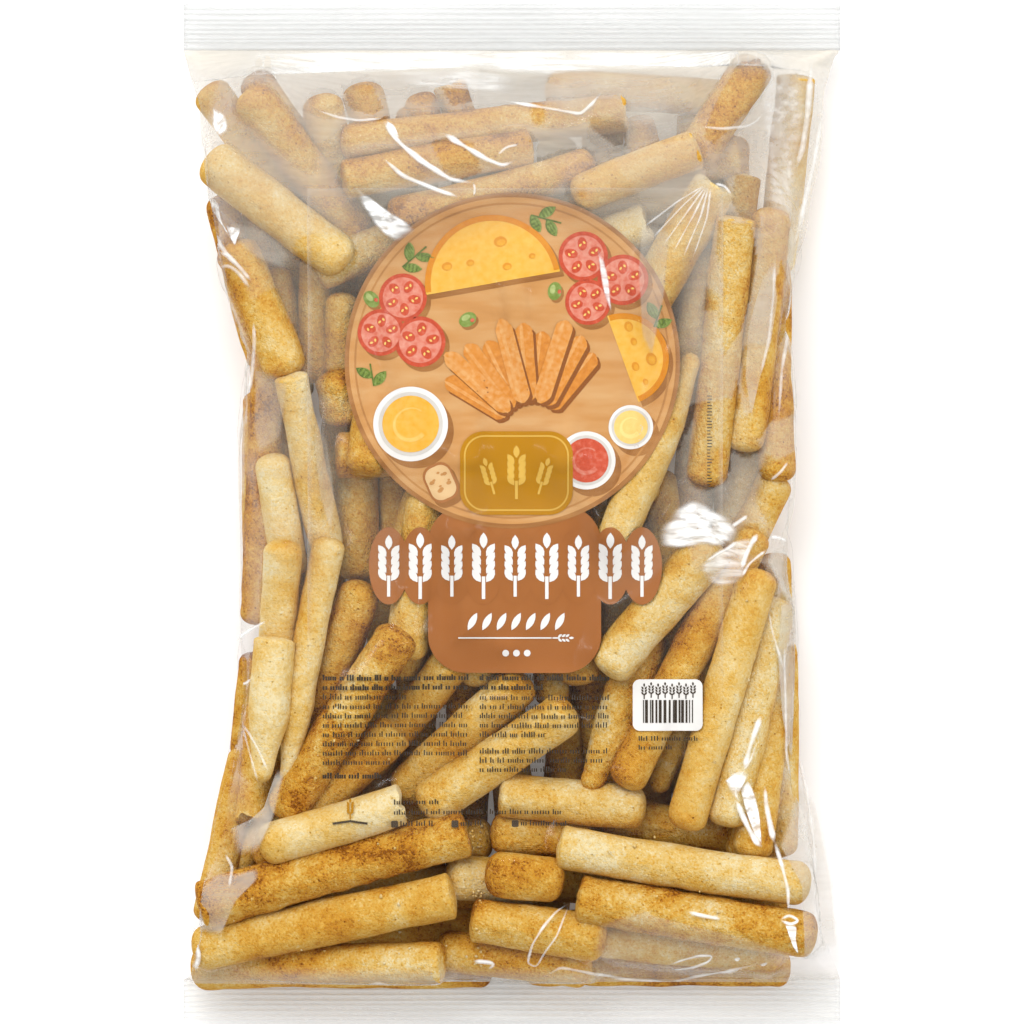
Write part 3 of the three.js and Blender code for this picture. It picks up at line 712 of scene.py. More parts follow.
def clearFilm(name, milkColour, streakShare):
    # the mesh's own haze, from 0 to 1, is how much of the milk covers the clear film, painted reflection
    # and painted highlights included
    finish = filmFinish
    material, tree = newMaterial(name)
    where = addNode(tree, "TexCoord").outputs["Object"]
    wave = addNode(tree, "TexNoise", {"Scale": perMetre(finish["wave"]), "Detail": finish["waveDetail"]},
                   {"Vector": where})
    bump = addNode(tree, "Bump", {"Strength": finish["waveRelief"], "Distance": toMetres},
                   {"Height": wave.outputs["Fac"]})
    facing = addNode(tree, "LayerWeight", {"Blend": 0.5}, {"Normal": bump}).outputs["Facing"]
    steep = addNode(tree, "Math", {"operation": "POWER", 1: finish["steepness"]}, {0: facing})
    shine = addNode(tree, "MapRange", {3: finish["facing"], 4: finish["grazing"]}, {0: steep})
    seeThrough = addNode(tree, "BsdfTransparent")
    gloss = addNode(tree, "BsdfAnisotropic", {"Roughness": finish["roughness"]}, {"Normal": bump})
    glossed = addNode(tree, "MixShader", links={0: shine, 1: seeThrough, 2: gloss})

    # milk, broken up by fine streaks that run along the pull of the film
    milk = addNode(tree, "BsdfDiffuse", {"Color": toLinear(milkColour)})
    haze = addNode(tree, "Attribute", {"attribute_name": "haze"}).outputs["Fac"]
    drawn = addNode(tree, "Mapping", {"Scale": finish["streakStretch"], "Rotation": finish["streakTurn"]},
                    {"Vector": where})
    streakSize = {"Scale": perMetre(finish["streak"]), "Detail": finish["streakDetail"]}
    streaks = addNode(tree, "TexNoise", streakSize, {"Vector": drawn})
    faint, strong = finish["streakSpan"]
    broken = addNode(tree, "MapRange", {1: faint, 2: strong, 3: 1 - streakShare, 4: 1 + streakShare},
                     {0: streaks.outputs["Fac"]})
    cloudy = addNode(tree, "Math", {"operation": "MULTIPLY"}, {0: haze, 1: broken})
    whole = addNode(tree, "MixShader", links={0: cloudy, 1: glossed, 2: milk})
    addNode(tree, "OutputMaterial", links={"Surface": whole})
    return material


# Flexographic ink rolled on the back of the label: matt colour with a slightly uneven lay.
inkFinish = {"roughness": 0.7, "ior": 1.4, "specular": 0.2, "detail": 4.0}


def printedInk(name, ink):
    # the mesh's own tint, from -1 to 1, runs through the three tones dark, plain and light
    material, tree = newMaterial(name)
    where = addNode(tree, "TexCoord").outputs["Object"]
    mapped = addNode(tree, "Mapping", {"Scale": ink.get("stretch", (1, 1, 1))}, {"Vector": where})
    cloud = addNode(tree, "TexNoise", {"Scale": perMetre(ink["size"]), "Detail": inkFinish["detail"]},
                    {"Vector": mapped})
    lay = addNode(tree, "MapRange", {1: noiseSpan[0], 2: noiseSpan[1], 3: -ink["uneven"], 4: ink["uneven"]},
                  {0: cloud.outputs["Fac"]})
    tint = addNode(tree, "Attribute", {"attribute_name": "tint"}).outputs["Fac"]
    total = addNode(tree, "Math", {"operation": "ADD"}, {0: lay, 1: tint})
    place = addNode(tree, "MapRange", {1: -1.0, 2: 1.0}, {0: total})
    ramp = addNode(tree, "ValToRGB", links={0: place})
    ramp.color_ramp.elements.new(0.5)
    for element, place, colour in zip(ramp.color_ramp.elements, (0.0, 0.5, 1.0), ink["tone"]):
        element.position = place
        element.color = toLinear(colour)
    finish = {"Roughness": inkFinish["roughness"], "IOR": inkFinish["ior"],
              "Specular IOR Level": inkFinish["specular"]}
    shader = addNode(tree, "BsdfPrincipled", finish, {"Base Color": ramp})
    addNode(tree, "OutputMaterial", links={"Surface": shader})
    return material


# Lumps are given as (height or share, size, seed), and all lengths in millimetres.
stickMesh = {
    "body": 1.35, "bodyDeep": 2.1,      # ring spacing, shown and deep sticks
    "sides": 30, "sidesDeep": 20,
    "deepLayer": 1.0,                   # sticks under this layer are deep ones
    "shrink": 0.98,                     # baked sticks are a little thinner than their place
    "caps": {"r": (0.72, 2.3), "s": (0.26, 2.6), "n": (0.5, 2.0), "b": (0.14, 4.0)},
    "capRings": 8,
    "taper": 26.0, "taperEnd": 0.5,     # length over which a narrowing end thins, and to what share
    "swell": (0.05, 22, 3),             # slow changes of thickness
    "bow": 0.011,                       # most bow as a share of the length
    "squareness": 2.25, "oval": 0.03,   # the section is round at 2
    "relief": ((0.34, 9, 11), (0.17, 3.8, 12)),
    "scabs": (0.42, 3.0, 13), "scabGrit": (0.25, 1.8, 14),       # on a crumbly crust
    "reliefAtEnds": 1.3,                # how soon the relief has its full height
    "break": ((1.3, 3.2, 15), (0.8, 1.6, 16)), "breakReach": 2.0, "breakOut": 0.9,
    "cut": (0.5, 4.0, 17), "cutReach": 1.2,
    "tipOut": 0.6,
}
# How brown a stick is, on top of its own toast, with painted shade on its two flanks.
toasting = {
    "mean": 0.42, "spread": 0.82,       # how far the sticks differ
    "side": 0.1, "top": 0.12,           # one side that faced the heat, and painted shade on both flanks that leaves the top paler
    "patches": (0.16, 13, 18), "freckles": (0.06, 5, 19), "stretch": (0.5, 1, 1),
    "ends": {"r": 0.16, "n": 0.14, "s": 0.0, "b": -0.2}, "endReach": 0.55, "endPower": 1.5,
}


def addedLumps(places, setting):
    height, size, seed = setting
    return height * lumps(places, size, seed)


def stickPoints(stick, rng):
    # rings of points along a stick, its two tips and the toast of each point
    a, b, r = stick["a"], stick["b"], stick["radius"] * stickMesh["shrink"]
    deep = stick["layer"] < stickMesh["deepLayer"]
    spacing = stickMesh["bodyDeep"] if deep else stickMesh["body"]
    sides = stickMesh["sidesDeep"] if deep else stickMesh["sides"]
    length = np.linalg.norm(b - a)
    axis = (b - a) / length
    side = np.cross(axis, (0, 0, 1))
    side /= np.linalg.norm(side)
    top = np.cross(side, axis)

    # stations along the stick and the share of its radius at each, cap rings first and last
    shares, stations = [], []
    turns = np.arange(1, stickMesh["capRings"] + 1) / stickMesh["capRings"] * math.pi / 2
    for end, flip in zip(stick["ends"], (False, True)):
        cap, power = stickMesh["caps"][end]
        s = r * cap * (1 - np.cos(turns))
        share = (1 - (1 - s / (r * cap)) ** power) ** (1 / power)
        stations.append(length - s[::-1] if flip else s)
        shares.append(share[::-1] if flip else share)
    count = max(4, round((stations[1][0] - stations[0][-1]) / spacing))
    body = np.linspace(stations[0][-1], stations[1][0], count + 1)[1:-1]
    s = np.concatenate([stations[0], body, stations[1]])
    share = np.concatenate([shares[0], np.ones(len(body)), shares[1]])
    thinnest = stickMesh["taperEnd"]
    for end, fromEnd in zip(stick["ends"], (s, length - s)):
        if end == "n":
            share = share * (thinnest + (1 - thinnest) * smooth(fromEnd / stickMesh["taper"]))

    # slow changes of thickness, a slight bow and a section between round and square
    along = s[:, None] / length
    home = rng.uniform(-400, 400, 3)
    swell = 1 + addedLumps(np.stack([s, s * 0, s * 0], -1) + home, stickMesh["swell"])
    bow = rng.uniform(-stickMesh["bow"], stickMesh["bow"]) * length * (1 - (2 * along - 1) ** 2)
    theta = np.arange(sides) / sides * 2 * math.pi
    roll = rng.uniform(0, 2 * math.pi)
    power = stickMesh["squareness"]
    c, d = np.abs(np.cos(theta + roll)), np.abs(np.sin(theta + roll))
    section = (c ** power + d ** power) ** (-1 / power)
    section = section / section.mean() * (1 + stickMesh["oval"] * np.cos(2 * (theta + roll)))
    radius = r * share[:, None] * swell[:, None] * section[None, :]

    # relief: broad lumps, smaller knobs and, on a crumbly crust, rough scabs
    local = np.zeros((*radius.shape, 3))
    local[..., 0], local[..., 1], local[..., 2] = s[:, None], r * np.cos(theta), r * np.sin(theta)
    local += home
    relief = sum(addedLumps(local, setting) for setting in stickMesh["relief"])
    if stick["crumbly"]:
        relief = relief + np.abs(addedLumps(local, stickMesh["scabs"]))
        relief = relief + addedLumps(local, stickMesh["scabGrit"])
    radius = radius + relief * np.minimum(1, share[:, None] * stickMesh["reliefAtEnds"])
    push = np.zeros_like(radius)
    for end, fromEnd, sign in zip(stick["ends"], (s, length - s), (1, -1)):
        if end == "b":   # a broken face is jagged
            jag = sum(addedLumps(local, setting) for setting in stickMesh["break"]) + stickMesh["breakOut"]
            push = push + sign * np.exp(-fromEnd / stickMesh["breakReach"])[:, None] * jag
        if end == "s":
            reach = np.exp(-fromEnd / stickMesh["cutReach"])[:, None]
            push = push + sign * reach * addedLumps(local, stickMesh["cut"])
    points = a + axis * (s[:, None] + push)[..., None] + side * bow[..., None]
    points = points + radius[..., None] * (np.cos(theta)[:, None] * side + np.sin(theta)[:, None] * top)
    tips = np.stack([points[0].mean(0), points[-1].mean(0)])
    tips[0] -= axis * (s[0] * stickMesh["tipOut"])
    tips[1] += axis * ((length - s[-1]) * stickMesh["tipOut"])

    # toast: own tone, one browner side, painted shade on both flanks, patches, freckles and browner ends
    toast = toasting["mean"] + toasting["spread"] * (stick["toast"] - toasting["mean"])
    toast = toast + toasting["side"] * np.cos(theta - rng.uniform(0, 2 * math.pi))[None, :]
    # painted shade: the two flanks, seen from above, are browner than the top
    toast = toast + toasting["top"] * (np.cos(theta) ** 4)[None, :]
    toast = toast + addedLumps(local * toasting["stretch"], toasting["patches"])
    toast = toast + addedLumps(local, toasting["freckles"])
    for end, fromEnd in zip(stick["ends"], (s, length - s)):
        near = np.exp(-(fromEnd / (toasting["endReach"] * r)) ** toasting["endPower"])[:, None]
        toast = toast + near * toasting["ends"][end]
    return points, tips, np.clip(toast, 0, 1), sides


# Each kind of stick: toast up to which it goes, how patchy its crust is and how coarse.
stickKinds = {
    "paleSticks": {"toast": 0.28, "patch": 0.09, "coarse": 0.7},
    "goldenSticks": {"toast": 0.46, "patch": 0.11, "coarse": 0.9},
    "toastedSticks": {"toast": 0.58, "patch": 0.12, "coarse": 1.0},
    "brownSticks": {"toast": 1.0, "patch": 0.12, "coarse": 1.0},
    "crumblySticks": {"toast": 1.0, "patch": 0.16, "coarse": 1.15},
}
stickSeed = 21


def kindOf(stick):
    if stick["crumbly"]:
        return "crumblySticks"
    return next(kind for kind, setting in stickKinds.items() if stick["toast"] < setting["toast"])


def makeSticks():
    rng = np.random.default_rng(stickSeed)
    for kind, setting in stickKinds.items():
        points, toasts, quads, tris = [], [], [], []
        start = 0
        pool = [stick for stick in sticks if kindOf(stick) == kind]
        for stick in pool:
            rings, tips, toast, sides = stickPoints(stick, rng)
            n = len(rings)
            quads += [gridFaces(n, sides, start), closeRows(n, sides, start)]
            k = np.arange(sides)
            firstTip, lastTip = start + n * sides, start + n * sides + 1
            last = start + (n - 1) * sides
            tris.append(np.stack([start + k, start + (k + 1) % sides, np.full(sides, firstTip)], -1))
            tris.append(np.stack([last + (k + 1) % sides, last + k, np.full(sides, lastTip)], -1))
            points += [rings.reshape(-1, 3), tips]
            toasts += [toast.ravel(), [toast[0].mean(), toast[-1].mean()]]
            start += n * sides + 2
        material = bakedCrust("bakedWheatCrust_" + kind, setting["patch"], setting["coarse"])
        makePiece(kind, np.concatenate(points), [np.concatenate(quads), np.concatenate(tris)],
                  material, {"toast": np.concatenate(toasts)})
        print(kind, len(pool), "sticks,", sum(len(q) for q in quads) * 2, "triangles")


makeSticks()

# How milky the front film is. It is clear where it lies on a stick and milky where it hangs free,
# and the whiter veil towards the top seal is painted reflection.
veil = {
    "top": (55.0, 55.0, 0.23),      # where the painted reflection over the top starts, how far it grows, its share
    "middle": (-70.0, 90.0, 0.04),  # the same for the rest
    "bottom": (-143.0, 6.0, 0.35),  # the same where the film turns down to the lower seal
    "crest": (136.0, 10.0, 0.4),    # the same for the painted reflection where it turns down to the top seal
    "left": (48.0, 12.0, 0.1, -50.0, 60.0),   # the same towards the long edges, and from which y up
    "right": (48.0, 12.0, 0.25, -50.0, 60.0),
    "free": (0.3, 2.6),             # gap to the sticks at which film hangs free, and its reach
    "freeShare": 0.035,
    "touch": 21.0, "touchEdge": 0.07,    # size of the spots where it lies close, and their sharpness
    "touchFine": (0.5, 2.5),        # share of smaller spots, and how many times smaller they are
    "touchSeeds": (34, 35), "facetSeed": 36,
    "touchTop": 0.95, "touchMiddle": -0.05, "touchClears": 0.85,
    "facet": 24.0, "facetShare": 0.03, "facetSlant": 0.3,
    "looseTop": 2.0, "looseMost": 3.0,   # how much more free film shows at the top, and the most
    "labelShare": 0.25,             # share of the veil that is left where the label lies behind
    "labelInset": (4, 6), "labelFade": 3,   # where that starts inside disc and panel
    "most": 0.9,
}
# Where the film clings to sticks inside the veil: the share of the veil left there, then the
# columns and rows of the outline's corners on the drawing grid.
clearSpots = [
    (0.1, 716, 224, 748, 228, 754, 262, 750, 292, 738, 332, 722, 356, 714, 330, 720, 290, 714, 255),
    (0.1, 778, 262, 788, 290, 784, 330, 774, 352, 770, 380, 770, 420, 756, 440, 744, 430, 749, 395, 760,
     360, 770, 320, 772, 285),
    (0.1, 757, 470, 775, 462, 790, 476, 786, 520, 776, 545, 764, 530, 766, 500),
    (0.5, 735, 68, 757, 62, 765, 80, 757, 105, 735, 125, 712, 148, 700, 142, 712, 110),
    (0.5, 193, 148, 208, 152, 214, 178, 206, 196, 196, 180),
    (0.5, 596, 102, 622, 100, 626, 150, 612, 150, 588, 128),
    (0.5, 432, 146, 452, 140, 474, 148, 482, 176, 462, 184, 444, 174),
    (0.5, 733, 178, 758, 180, 757, 232, 742, 228, 728, 205),
    (0.5, 342, 88, 372, 86, 384, 112, 372, 118, 352, 112),
    (0.5, 440, 86, 468, 82, 474, 104, 452, 108),
    (0.1, 706, 470, 724, 420, 734, 380, 738, 400, 728, 450, 716, 486, 704, 488),
    (0.1, 228, 262, 246, 282, 262, 322, 282, 366, 262, 372, 244, 330, 232, 292),
]
# Fine relief of the front film as (height, size, seed), and how it fades towards seals and sides.
filmDetail = {
    "wave": (0.22, 26.0, 31), "ripple": (0.07, 7.0, 32), "pleat": (0.5, 7.0, 33),
    "pleatStretch": (1, 0.12, 1), "pleatReach": 9.0, "pleatStart": 3.0,
    "sealFade": 6.0, "sideFade": 8.0,
    "floor": 0.3, "room": 0.2,      # least height over the back film, and distance from the full height
}


def doubled(grid, axis):
    # twice as many points along an axis, the new ones on a smooth curve through the old
    p = np.moveaxis(grid, axis, 0)
    padded = np.concatenate([2 * p[:1] - p[1:2], p, 2 * p[-1:] - p[-2:-1]])
    between = (9 * (padded[1:-2] + padded[2:-1]) - padded[:-3] - padded[3:]) / 16
    out = np.zeros((2 * len(p) - 1, *p.shape[1:]))
    out[0::2], out[1::2] = p, between
    return np.moveaxis(out, 0, axis)


def facets(x, y, size, seed):
    # a random value from 0 to 1 for each cell of a cracked pattern, its cells `size` millimetres wide
    cells = lumpField["cells"]
    table = np.random.default_rng(seed).uniform(0, 1, (3, cells, cells))
    i0, j0 = np.floor(x / size).astype(int), np.floor(y / size).astype(int)
    nearest, value = np.full(np.shape(x), np.inf), np.zeros(np.shape(x))
    for di, dj in itertools.product((-1, 0, 1), repeat=2):
        i, j = i0 + di, j0 + dj
        offsetX, offsetY, level = (layer[i % cells, j % cells] for layer in table)
        away = np.hypot(x - (i + offsetX) * size, y - (j + offsetY) * size)
        value = np.where(away < nearest, level, value)
        nearest = np.minimum(nearest, away)
    return value


def insideOutline(x, y, cells):
    # whether points lie in an outline given in cells of the drawing grid
    corners = gridLine(cells)
    inside = np.zeros(np.shape(x), bool)
    for p, q in zip(corners, np.roll(corners, -1, 0)):
        if p[1] == q[1]:   # a level side is never crossed
            continue
        crosses = (p[1] > y) != (q[1] > y)
        inside ^= crosses & (x < p[0] + (y - p[1]) / (q[1] - p[1]) * (q[0] - p[0]))
    return inside


def filmVeil(x, y, gap):
    # the milk of the front film, from its gap to the sticks and its place on the bag, with painted
    # reflection towards the top
    # painted reflection: the veil grows towards the top seal
    upper = smooth((y - veil["top"][0]) / veil["top"][1])
    lower = smooth((y - veil["middle"][0]) / veil["middle"][1])
    top, middle = veil["top"][2] * upper, veil["middle"][2] * lower
    free = smooth((gap - film["gap"] - veil["free"][0]) / veil["free"][1])
    flat = np.stack([x, y, 0 * x], -1)
    fineShare, finer = veil["touchFine"]
    seed, fineSeed = veil["touchSeeds"]
    pattern = lumps(flat, veil["touch"], seed) + fineShare * lumps(flat, veil["touch"] / finer, fineSeed)
    level = veil["touchMiddle"] + (veil["touchTop"] - veil["touchMiddle"]) * upper
    touch = smooth((pattern - level) / veil["touchEdge"] + 0.5) * (1 - free)
    cracked = facets(x + veil["facetSlant"] * y, y, veil["facet"], veil["facetSeed"])
    cracked = cracked * veil["facetShare"]
    share = np.maximum(top, middle)
    for name, way in (("left", -1), ("right", 1)):
        edge, grows, most, lowest, rises = veil[name]
        share = np.maximum(share, most * smooth((way * x - edge) / grows) * smooth((y - lowest) / rises))
    disc, panel = printDepth(x, y)
    behind = np.maximum(disc - veil["labelInset"][0], panel - veil["labelInset"][1])
    label = 1 - (1 - veil["labelShare"]) * smooth(behind / veil["labelFade"])
    bottom = veil["bottom"][2] * smooth((veil["bottom"][0] - y) / veil["bottom"][1])
    # painted reflection where the film turns down to the top seal
    bottom = bottom + veil["crest"][2] * smooth((y - veil["crest"][0]) / veil["crest"][1])
    looser = np.minimum(lower + veil["looseTop"] * upper, veil["looseMost"])
    loose = (veil["freeShare"] * free + cracked) * looser
    haze = label * (share * (1 - veil["touchClears"] * touch) + loose) + bottom
    for left, *cells in clearSpots:
        haze = np.where(insideOutline(x, y, cells), left * haze, haze)
    return np.clip(haze, 0, veil["most"])


half = len(tube) // 2
heights = stickHeights(film["clearance"])
clearMaterial = clearFilm("castPolypropyleneFilm", filmFinish["milk"], filmFinish["plain"])


def makeFrontFilm():
    grid = doubled(doubled(tube[:half + 1], 0), 1)
    x, y = grid[..., 0], grid[..., 1]
    flat = np.stack([x, y, 0 * x], -1)
    toSeal = np.minimum(bodyTop - y, y - bodyBottom)
    toSide = np.minimum(sideAt(1, y) - x, sideAt(-1, y) + x)
    inside = smooth(toSeal / filmDetail["sealFade"]) * smooth(toSide / filmDetail["sideFade"])
    detail = (addedLumps(flat, filmDetail["wave"]) + addedLumps(flat, filmDetail["ripple"])) * inside
    pleats = addedLumps(flat * filmDetail["pleatStretch"], filmDetail["pleat"])
    pleats = pleats * np.exp(-toSeal / filmDetail["pleatReach"]) * smooth(toSeal / filmDetail["pleatStart"])
    stickTop = heightAt(heights, "top", x, y)
    z = np.maximum(grid[..., 2] + detail + pleats, stickTop)
    grid[..., 2] = np.clip(z, film["thin"] + filmDetail["floor"], bag["height"] - filmDetail["room"])
    grid[0], grid[-1] = doubled(tube[0], 0), doubled(tube[half], 0)
    haze = filmVeil(x, y, grid[..., 2] - stickTop)
    return makePiece("frontFilm", grid.reshape(-1, 3), [gridFaces(*grid.shape[:2])],
                     clearMaterial, {"haze": haze.ravel()})


def makeBackFilm():
    grid = doubled(np.concatenate([tube[half:], tube[:1]]), 0)
    grid[..., 2] = np.clip(grid[..., 2], film["thin"], None)
    return makePiece("backFilm", grid.reshape(-1, 3), [gridFaces(*grid.shape[:2])],
                     clearMaterial, {"haze": np.zeros(grid.shape[:2]).ravel()})


filmPieces = {"front": makeFrontFilm(), "back": makeBackFilm()}
print("film meshes made")

# Loose crumbs between the sticks and the front film: strips of the drawing grid, how many lie in
# each, and their sizes in millimetres.
looseCrumbs = {
    "strips": [
        (471, 822, 482, 848, 16), (472, 884, 482, 906, 12), (471, 914, 480, 928, 7),
        (474, 942, 486, 962, 9), (300, 700, 420, 860, 14), (200, 880, 470, 960, 16),
        (560, 820, 800, 930, 14), (600, 560, 780, 760, 12),
    ],
    "sizes": (0.28, 0.75), "corners": (0.6, 1.1), "sides": (0.6, 1.2),   # sizes, and shares of them
    "rise": 0.4,   # share of its size that a crumb's middle stands over the sticks
    "tone": 0.12, "patch": 0.1, "coarse": 0.6, "seed": 77,
}


def makeCrumbs():
    # each crumb is a cube with a raised middle on each side, all its points then shifted
    rng = np.random.default_rng(looseCrumbs["seed"])
    corners = np.array(list(itertools.product((-1, 1), repeat=3))) / math.sqrt(3)
    tips = np.array([(1, 0, 0), (-1, 0, 0), (0, 1, 0), (0, -1, 0), (0, 0, 1), (0, 0, -1)], float)
    shape = np.concatenate([corners, tips])
    faces = []
    for k, tip in enumerate(tips):
        near = np.nonzero(corners @ tip > 0)[0]
        axes = np.roll(np.eye(3), -int(np.argmax(np.abs(tip))), 0)[1:]
        around = near[np.argsort(np.arctan2(corners[near] @ axes[1], corners[near] @ axes[0]))]
        around = around if tip.sum() > 0 else around[::-1]
        faces += [(len(corners) + k, around[i], around[(i + 1) % 4]) for i in range(4)]
    points, tris = [], []
    for c0, r0, c1, r1, count in looseCrumbs["strips"]:
        for _ in range(count):
            cx, cy = fromGrid(rng.uniform(c0, c1), rng.uniform(r0, r1))
            size = rng.uniform(*looseCrumbs["sizes"])
            body = shape * size * rng.uniform(*looseCrumbs["corners"], (len(shape), 1))
            body = body * rng.uniform(*looseCrumbs["sides"], 3)
            ground = heightAt(heights, "top", np.array([cx]), np.array([cy]))[0] - film["clearance"]
            tris.append(np.array(faces) + len(shape) * len(points))
            points.append(body + (cx, cy, ground + size * looseCrumbs["rise"]))
    points = np.concatenate(points)
    material = bakedCrust("bakedCrumbs", looseCrumbs["patch"], looseCrumbs["coarse"])
    makePiece("looseCrumbs", points, [np.concatenate(tris)], material,
              {"toast": np.full(len(points), looseCrumbs["tone"])})
    print("looseCrumbs", len(points) // len(shape), "crumbs")


makeCrumbs()

filmTree = {}
for key, piece in filmPieces.items():
    corners = [vertex.co for vertex in piece.data.vertices]
    filmTree[key] = BVHTree.FromPolygons(corners, [tuple(face.vertices) for face in piece.data.polygons])


rayStart = 0.1   # metres from the table at which the search for the film starts


def onFilm(flat, side="front"):
    # heights of the front film, or of the back film seen from below, over points given by x and y
    up = 1 if side == "front" else -1
    start, way = up * rayStart, Vector((0, 0, -up))
    found = []
    for x, y in flat.reshape(-1, 2):
        hit = filmTree[side].ray_cast(Vector((x * toMetres, y * toMetres, start)), way)[0]
        found.append(hit.z / toMetres if hit else bag["sealHeight"])
    return np.array(found).reshape(flat.shape[:-1])


# Sharp folds of the film: width in millimetres, how white it is (fold milk and painted glint), then columns
# and rows along it.
filmFolds = [
    (0.9, 0.6, 319, 114, 340, 121, 360, 124, 384, 122),
    (1.5, 0.9, 384, 122, 389, 133, 404, 150, 425, 167, 452, 184, 474, 187),
    (1, 0.6, 384, 162, 404, 180, 438, 194, 462, 202),
    (1.5, 0.9, 444, 137, 469, 153, 486, 163, 503, 170, 515, 165),
    (0.8, 0.6, 474, 187, 476, 194, 474, 200),
    (1, 0.6, 498, 159, 507, 151, 518, 149),
    (1.1, 0.4, 204, 205, 210, 222, 222, 245, 234, 262, 246, 272),
    (1.1, 0.45, 222, 255, 232, 258, 245, 272, 255, 284),
    (1.1, 0.45, 223, 270, 232, 268, 243, 276, 253, 290),
    (1, 0.4, 257, 322, 258, 345, 256, 365, 251, 396),
    (1, 0.8, 236, 640, 246, 632, 258, 625, 270, 619),
    (0.9, 0.8, 237, 683, 246, 683, 255, 676),
    (0.8, 0.5, 245, 720, 252, 728, 262, 745, 272, 767),
    (0.7, 0.4, 246, 722, 254, 750, 262, 778),
    (0.9, 0.5, 228, 850, 236, 862, 233, 882),
    (1.2, 0.8, 190, 924, 199, 934, 203, 950, 198, 966),
    (1.1, 0.9, 474, 956, 489, 957, 495, 959, 489, 964),
    (0.9, 0.6, 745, 515, 738, 520, 729, 526),
    (0.9, 0.6, 736, 540, 724, 548, 716, 552, 702, 561),
    (1.6, 0.9, 755, 533, 748, 543, 742, 555, 738, 568),
    (0.8, 0.6, 764, 549, 755, 555, 745, 563, 738, 576),
    (1, 0.8, 768, 536, 778, 537, 787, 541),
    (0.9, 0.4, 772, 259, 770, 300, 766, 340, 757, 378),
    (0.9, 0.4, 790, 290, 786, 330, 779, 372, 776, 420),
    (0.9, 0.6, 768, 480, 778, 472, 785, 462),
    (1.6, 0.9, 758, 712, 752, 728, 746, 745, 741, 766),
    (0.7, 0.5, 753, 740, 748, 755, 741, 766),
    (1.4, 0.9, 733, 795, 738, 808, 746, 825, 755, 840, 759, 842),
    (1.6, 0.95, 762, 783, 763, 800, 767, 820, 771, 838),
    (0.8, 0.6, 741, 766, 734, 778, 732, 790, 736, 797),
    (0.9, 0.6, 771, 836, 778, 860, 784, 885, 784, 906),
    (0.9, 0.9, 776, 913, 785, 908, 795, 914, 786, 918, 776, 913),
    (1, 0.8, 685, 905, 700, 909, 718, 912),
    (0.7, 0.55, 569, 897, 556, 905, 543, 920, 532, 938, 527, 958, 536, 962, 545, 945, 556, 930, 563, 912,
     569, 897),
    (0.7, 0.6, 665, 961, 680, 955, 697, 950, 711, 950, 706, 957, 690, 963, 672, 966, 665, 961),
    (0.9, 0.6, 503, 103, 540, 110, 580, 117, 592, 106, 601, 94),
    (0.8, 0.4, 696, 131, 720, 133, 745, 130, 755, 124, 762, 114),
    (1.4, 0.5, 811, 60, 808, 90, 806, 116, 801, 150, 794, 172),
    (1.2, 0.45, 822, 110, 814, 160, 803, 205, 793, 245),
    (1.2, 0.45, 796, 745, 806, 790, 813, 840, 815, 890),
    (0.8, 0.5, 781, 640, 783, 700, 784, 750, 790, 780),
    (0.8, 0.5, 765, 610, 769, 630, 777, 655, 780, 668),
    (0.9, 0.5, 355, 982, 380, 977, 402, 982, 450, 979, 516, 979),
    (0.9, 0.5, 538, 975, 560, 962, 580, 966, 620, 976, 668, 980, 720, 968, 760, 957),
    (0.6, 0.45, 703, 189, 676, 205, 640, 232),
    (0.6, 0.45, 703, 189, 680, 210, 650, 242),
    (0.6, 0.45, 704, 189, 686, 214, 660, 250),
    (0.6, 0.45, 705, 190, 692, 217, 670, 257),
    (0.6, 0.45, 706, 190, 698, 220, 680, 262),
    (0.6, 0.45, 708, 190, 704, 222, 690, 262),
    (0.9, 0.6, 712, 188, 722, 190, 728, 198),
]
